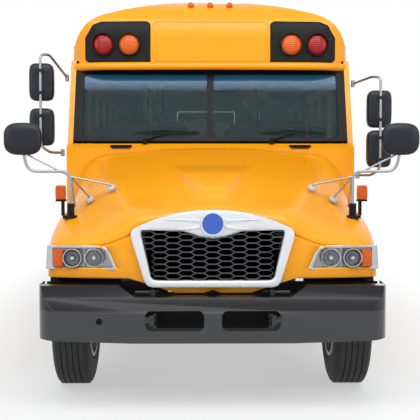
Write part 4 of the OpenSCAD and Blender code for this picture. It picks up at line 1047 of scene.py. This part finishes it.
CROSS_X, CROSS_Z = 1.4, 1.88
POST_X = 1.055
mid_y = FRONT + 1.495
arm_y = FRONT + 1.424
post_y = FRONT + 0.7
eye_y = FRONT + 0.655
for word, side, tops, arm_top, arm_low, foot_y, foot_z in (
        ("right", -1, (2.37, 2.0), 2.60, 1.79, FRONT + 1.955, 2.45),
        ("left", 1, (2.15, 1.82), 2.42, 1.60, FRONT + 1.95, 2.40)):
    low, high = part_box("mirrors_" + word)
    far = max(abs(low.x), abs(high.x)) - 0.1
    shape = Shape()
    for z in tops:
        shell, glass = head((side * far, mid_y, z), 0.2, 0.31)
        shape.add(*shell, 0)
        shape.add(*glass, 1)
    path = [(side * (WALL + 0.01), foot_y, foot_z), (side * (far - 0.06), FRONT + 1.5, arm_top),
            (side * far, arm_y, arm_top - 0.01), (side * far, arm_y, arm_low + 0.05),
            (side * (far - 0.06), FRONT + 1.5, arm_low), (side * (WALL + 0.01), FRONT + 1.665, arm_low)]
    shape.add(*tube(path, 0.011, 14, 0.05), 2)
    for x, y, z in (path[0], path[-1]):
        shape.add(*box((x - 0.014, y - 0.03, z - 0.03), (x + 0.012, y + 0.03, z + 0.03)), 2)
    for z in (tops[0] + 0.09, tops[0] - 0.09, tops[1] + 0.09, tops[1] - 0.09):
        shape.add(*box((side * far - 0.022, FRONT + 1.41, z - 0.014),
                       (side * far + 0.022, FRONT + 1.45, z + 0.014)))
    shape.make("mirror_set_" + word, "body", [mirror_shell, mirror_glass, tube_steel], "mirror_shell",
               ("mirrors_" + word,), 45, 0.002)
    cross = Shape()
    cross.add(*egg((side * CROSS_X, eye_y, CROSS_Z), (0.28, 0.1, 0.24), 3.0, 22, 48))
    cross.add(*turned([(0.0, 0.012), (0.06, 0.01), (0.1, 0.004), (0.11, -0.01)],
                      (side * CROSS_X, eye_y + 0.035, CROSS_Z), (0, 1, 0), 40), 1)
    post = [(side * POST_X, post_y, 1.316), (side * POST_X, post_y, 1.64),
            (side * (CROSS_X - 0.035), eye_y, 1.64), (side * CROSS_X, eye_y, 1.79)]
    brace = [(side * 1.03, FRONT + 0.75, 1.37), (side * 1.05, post_y, 1.6), (side * CROSS_X, eye_y, 1.78)]
    cross.add(*tube(post, 0.011, 14, 0.07), 2)
    cross.add(*tube(brace, 0.007, 10, 0.03), 2)
    for x, y, z in ((side * 0.762, FRONT + 0.762, 1.52), (side * 0.93, FRONT + 0.80, 1.43)):
        cross.add(*tube([(side * POST_X, post_y, 1.6), (x, y - 0.02, z + 0.02), (x, y, z)], 0.007, 10), 2)
        cross.add(*turned([(0, 0.014), (0.02, 0.012), (0.034, 0.004), (0.036, -0.012)], (x, y, z),
                          (side * 0.35, -0.45, 0.82), 24), 3)
    x = side * POST_X
    cross.add(*box((x - 0.024, FRONT + 0.675, 1.30), (x + 0.024, FRONT + 0.725, 1.40)), 4)
    cross.add(*box((x - 0.05, FRONT + 0.63, 1.29), (x + 0.05, FRONT + 0.77, 1.312)), 4)
    cross.make("crossview_set_" + word, "hood_body",
               [mirror_shell, mirror_glass, tube_steel, wheel_white, black_plastic],
               "mirror_shell", ("crossview_" + word,), 45, 0.002)

# ---- Fender lamps and hood latches ----
# Amber turn lamps on black brackets, screwed to the top of the fenders, and a bright draw latch on each side
# that holds the hood down.
lamp_low, lamp_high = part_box("fender_lamps")
side_lamps = Shape()
mid_y, mid_z = lamp_low.y + 0.03, lamp_high.z - 0.055
side_lamps.add(*egg((1.155, mid_y, mid_z), (0.078, 0.062, 0.115), 6.0, 14, 28), 0)
side_lamps.add(*box((1.128, mid_y - 0.02, 1.30), (1.15, mid_y + 0.02, mid_z - 0.05)), 1)
side_lamps.add(*box((1.115, mid_y - 0.035, mid_z - 0.066), (1.19, mid_y + 0.035, mid_z - 0.052)), 1)
side_lamps.mirrored().make("fender_lamp_set", "hood_body", [amber_lens, black_plastic], "lamp_amber",
                           ("fender_lamps",), 40, 0.002)

latch = Shape()
latch.add(*tube([(1.115, FRONT + 1.28, 1.36), (1.155, FRONT + 1.16, 1.27)], (0.010, 0.008), 10))
latch.add(*egg((1.11, FRONT + 1.30, 1.372), (0.05, 0.06, 0.03), 4.0, 10, 16))
latch.add(*egg((1.16, FRONT + 1.15, 1.262), (0.04, 0.05, 0.026), 4.0, 10, 16))
latch.mirrored().make("hood_latches", "hood_body", [bright_steel], "steel", (), 40)

# ---- Entrance door trim ----
# Two black-framed glazed leaves meet on a rubber closing edge, carried by the front leaf. A bright grab
# handle is screwed up inside, ahead of them.
repaint(clear_glass, "entrance_glass_front", "entrance_glass_rear")
for name, body in (("entrance_door_front", "door_leaf_front"), ("entrance_door_rear", "door_leaf_rear")):
    softened(name, body, black_plastic, 0.004)
seal_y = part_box("entrance_door_front")[1].y
Shape().add(*egg((-WALL + 0.02, seal_y - 0.004, 1.46), (0.03, 0.012, 2.0), 3.0, 14, 14)).make(
    "entrance_seal", "door_leaf_front", [frame_black], "black_trim", (), 50)
handle_y, handle_foot, handle_grip = FRONT + 2.06, 0.075 - WALL, 0.11 - WALL
handle = [(handle_foot, handle_y, 1.1), (handle_grip, handle_y, 1.2), (handle_grip, handle_y, 1.9),
          (handle_foot, handle_y, 2.0)]
Shape().add(*tube(handle, 0.014, 12, 0.05)).make("grab_handle", "body", [bright_steel], "steel")

# ---- Rear: emergency door, tail lamps and bumper ----
# A yellow steel door with two rubber-set panes, a pressed black bumper, and ribbed red and amber lenses.
# The place for the plate is bare.
# The rear door panes take the same near-black glass, painted shade of the cabin behind them.
repaint(shade_darkened_glass, "rear_door_glass")
softened("rear_door", "emergency_door", body_paint, 0.004)
softened("rear_bumper", "body", bumper_paint, 0.01)
tail_low, tail_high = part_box("tail_lamps")
tails = Shape()
for z, r, mark in ((1.15, 0.09, 0), (1.33, 0.07, 1)):
    lens_profile = [(0, 0.02), (r * 0.5, 0.018), (r * 0.85, 0.01), (r * 0.93, 0.004), (r, 0.012), (r, -0.02)]
    tails.add(*turned(lens_profile, (0.9, tail_high.y - 0.004, z), (0, 1, 0), 48), mark)
tails.mirrored().make("tail_lamp_lenses", "body", [red_lens, amber_lens], "lamp_red", ("tail_lamps",), 40)
back_y = tail_low.y + 0.004


def on_rear(line, k):
    """Sets a line of (x, z) points in the rear door's skin, going out through it as k goes from 0 to 1."""
    return np.column_stack([line[:, 0], np.full(len(line), back_y - 0.02 + 0.026 * k), line[:, 1]])


seals = Shape()
for z0, z1 in ((1.78, 2.47), (1.23, 1.72)):
    seals.add(*frame_of(rounded((-0.39, z0), (0.39, z1), 0.06),
                        rounded((-0.355, z0 + 0.035), (0.355, z1 - 0.035), 0.045), on_rear))
seals.make("rear_door_seals", "emergency_door", [black_plastic], "black_trim", (), 40, 0.002)

# ---- Stop arm ----
# A red steel octagon with a white border and no lettering, and a round red lamp above and below its middle.
# It is hinged to the left side under the driver's window.
s = Shader("stop red")
x_, y_, z_ = s.axes()
stop_low, stop_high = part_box("stop_arm")
STOP_MID = Vector(((stop_low.x + stop_high.x) / 2, FRONT + 2.475, 1.42))
dy, dz = (y_ - STOP_MID.y).math("ABSOLUTE"), (z_ - STOP_MID.z).math("ABSOLUTE")
across_flats = dy.math("MAXIMUM", dz).math("MAXIMUM", (dy + dz) * 0.7071)
border = (across_flats > 0.205) * (across_flats < 0.219)
stop_red = s.finish(Base_Color=s.mix(border, (0.5, 0.006, 0.012), (0.85, 0.85, 0.85)),
                    Roughness=spread(s, 0.3, 0.42), Coat_Weight=0.3)
softened("stop_arm", "stop_sign", stop_red, 0.002)
SIGN_X, LAMP_UP = 1.24, 0.14
dots = Shape()
for z in (STOP_MID.z - LAMP_UP, STOP_MID.z + LAMP_UP):
    for out in (-1, 1):
        dots.add(*turned([(0, 0.012), (0.02, 0.011), (0.03, 0.005), (0.034, -0.002)],
                         (SIGN_X + out * 0.008, STOP_MID.y, z), (out, 0, 0), 28))
dots.make("stop_lamps", "stop_sign", [red_lens], "lamp_red")

# ---- Cabin: seats, driver's place and trim ----
# Crowned foam seats in dark vinyl with a piped seam, on steel legs bolted to the floor; the driver has a
# high-backed seat on a pedestal. A pale headliner is screwed up under the roof.
s = Shader("seat vinyl")
seat_vinyl = s.finish(Base_Color=s.mix(s.noise(5.0), (0.012, 0.016, 0.024), (0.022, 0.028, 0.04)),
                      Roughness=spread(s, 0.45, 0.6, 9.0), Normal=s.bump(s.noise(160.0, 3.0), 0.25, 0.0015))
SEAT_ROWS = 8
repaint(bright_steel, "seat_frames")
repaint(grey_plastic, "steering_wheel")


def cushion(low, high, crown, up, power=5.0):
    """A stuffed block crowned along one axis by crown, with a raised seam round its middle."""
    low, high = np.array(low), np.array(high)
    points, faces = egg((0, 0, 0), (2, 2, 2), power, 22, 52)
    points = points.reshape(-1, 3)
    flat = [k for k in range(3) if k != up]
    bulge = 1 + crown * (1 - points[:, flat[0]] ** 2) * (1 - points[:, flat[1]] ** 2)
    scaled = points.copy()
    scaled[:, up] *= bulge
    seam = 1 + 0.012 * np.exp(-(points[:, up] / 0.1) ** 2)
    scaled[:, flat] *= seam[:, None]
    return (low + high) / 2 + scaled * (high - low) / 2, faces


def seat_row(node, up, crown):
    """The crowned cushions that stand for one seat node, two by two along the bus."""
    low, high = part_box(node)
    shape = Shape()
    for k in range(SEAT_ROWS):
        y0 = low.y + WINDOW_PITCH * k + 0.004
        y1 = high.y - WINDOW_PITCH * (SEAT_ROWS - 1 - k) - 0.004
        for side in (-1, 1):
            x0, x1 = sorted((side * (high.x - 0.98), side * high.x))
            front, back = (x0 + 0.006, y0, low.z + 0.004), (x1 - 0.006, y1, high.z - 0.012)
            shape.add(*cushion(front, back, crown, up))
    return shape


benches = seat_row("seat_cushions", 2, 0.1)
benches = benches.make("bench_cushions", "body", [seat_vinyl], "seat_vinyl", ("seat_cushions",), 70)
backs = seat_row("seat_backs", 1, 0.14)
backs = backs.make("bench_backs", "body", [seat_vinyl], "seat_vinyl", ("seat_backs",), 70)
drive = Shape()
drive.add(*cushion((0.405, FRONT + 2.395, 1.445), (0.875, FRONT + 2.845, 1.55), 0.18, 2))
drive.add(*cushion((0.42, FRONT + 2.85, 1.49), (0.86, FRONT + 2.97, 2.06), 0.25, 1))
drive.add(*cushion((0.50, FRONT + 2.86, 2.05), (0.78, FRONT + 2.96, 2.32), 0.25, 1))
drive.make("driver_cushions", "body", [seat_vinyl], "seat_vinyl", ("driver_seat",), 70)
pedestal = [(0.0, 0.0), (0.06, 0.0), (0.06, 0.14), (0.09, 0.15), (0.09, 0.29), (0.0, 0.29)]
Shape().add(*box((0.52, FRONT + 2.5, 1.10), (0.76, FRONT + 2.78, 1.16))).add(
    *turned(pedestal, (0.64, FRONT + 2.64, 1.16), (0, 0, 1), 28)).make(
    "driver_seat_base", "body", [frame_black], "chassis_black", (), 40, 0.006)
softened("barriers", "body", seat_vinyl, 0.008)
softened("dashboard", "body", grey_plastic, 0.02)
trim = Shape()
trim.add(*egg((0.0, FRONT + 2.06, 2.40), (0.62, 0.03, 0.13), 4.0, 12, 30), 0)
trim.add(*tube([(0.0, FRONT + 2.06, 2.44), (0.0, FRONT + 2.05, 2.58)], 0.008, 8), 1)
trim.make("inside_mirror", "body", [mirror_shell, tube_steel], "mirror_shell", (), 50)
s = Shader("red belt webbing")
belt_red = s.finish(Base_Color=s.mix(s.noise(40.0), (0.5, 0.05, 0.01), (0.38, 0.03, 0.01)),
                    Roughness=spread(s, 0.6, 0.75), Normal=s.bump(s.noise(500.0), 0.3, 0.001))
belt = [(0.98, FRONT + 2.92, 1.6), (0.96, FRONT + 2.9, 2.0), (0.93, FRONT + 2.9, 2.35)]
Shape().add(*tube(belt, 0.016, 10)).make("belt_strap", "body", [belt_red], "seat_vinyl")
s = Shader("headliner")
headliner = s.finish(Base_Color=s.mix(s.noise(9.0), (0.30, 0.31, 0.30), (0.24, 0.25, 0.24)),
                     Roughness=spread(s, 0.6, 0.75), Normal=s.bump(s.noise(300.0), 0.15, 0.001))
arch_a = np.linspace(0, pi, 40)
arch_x = np.sign(np.cos(arch_a)) * np.abs(np.cos(arch_a)) ** 0.62 * 1.155
arch_z = 2.47 + 0.58 * np.sin(arch_a) ** 0.8
liner = np.stack([np.column_stack([arch_x, np.full(40, y), arch_z]) for y in (FRONT + 2.3, FRONT + 9.15)])
Shape().add(liner, quads(2, 40)).make("headliner_panel", "body", [headliner], "interior_dark", (), 60, 0,
                                      0.006)
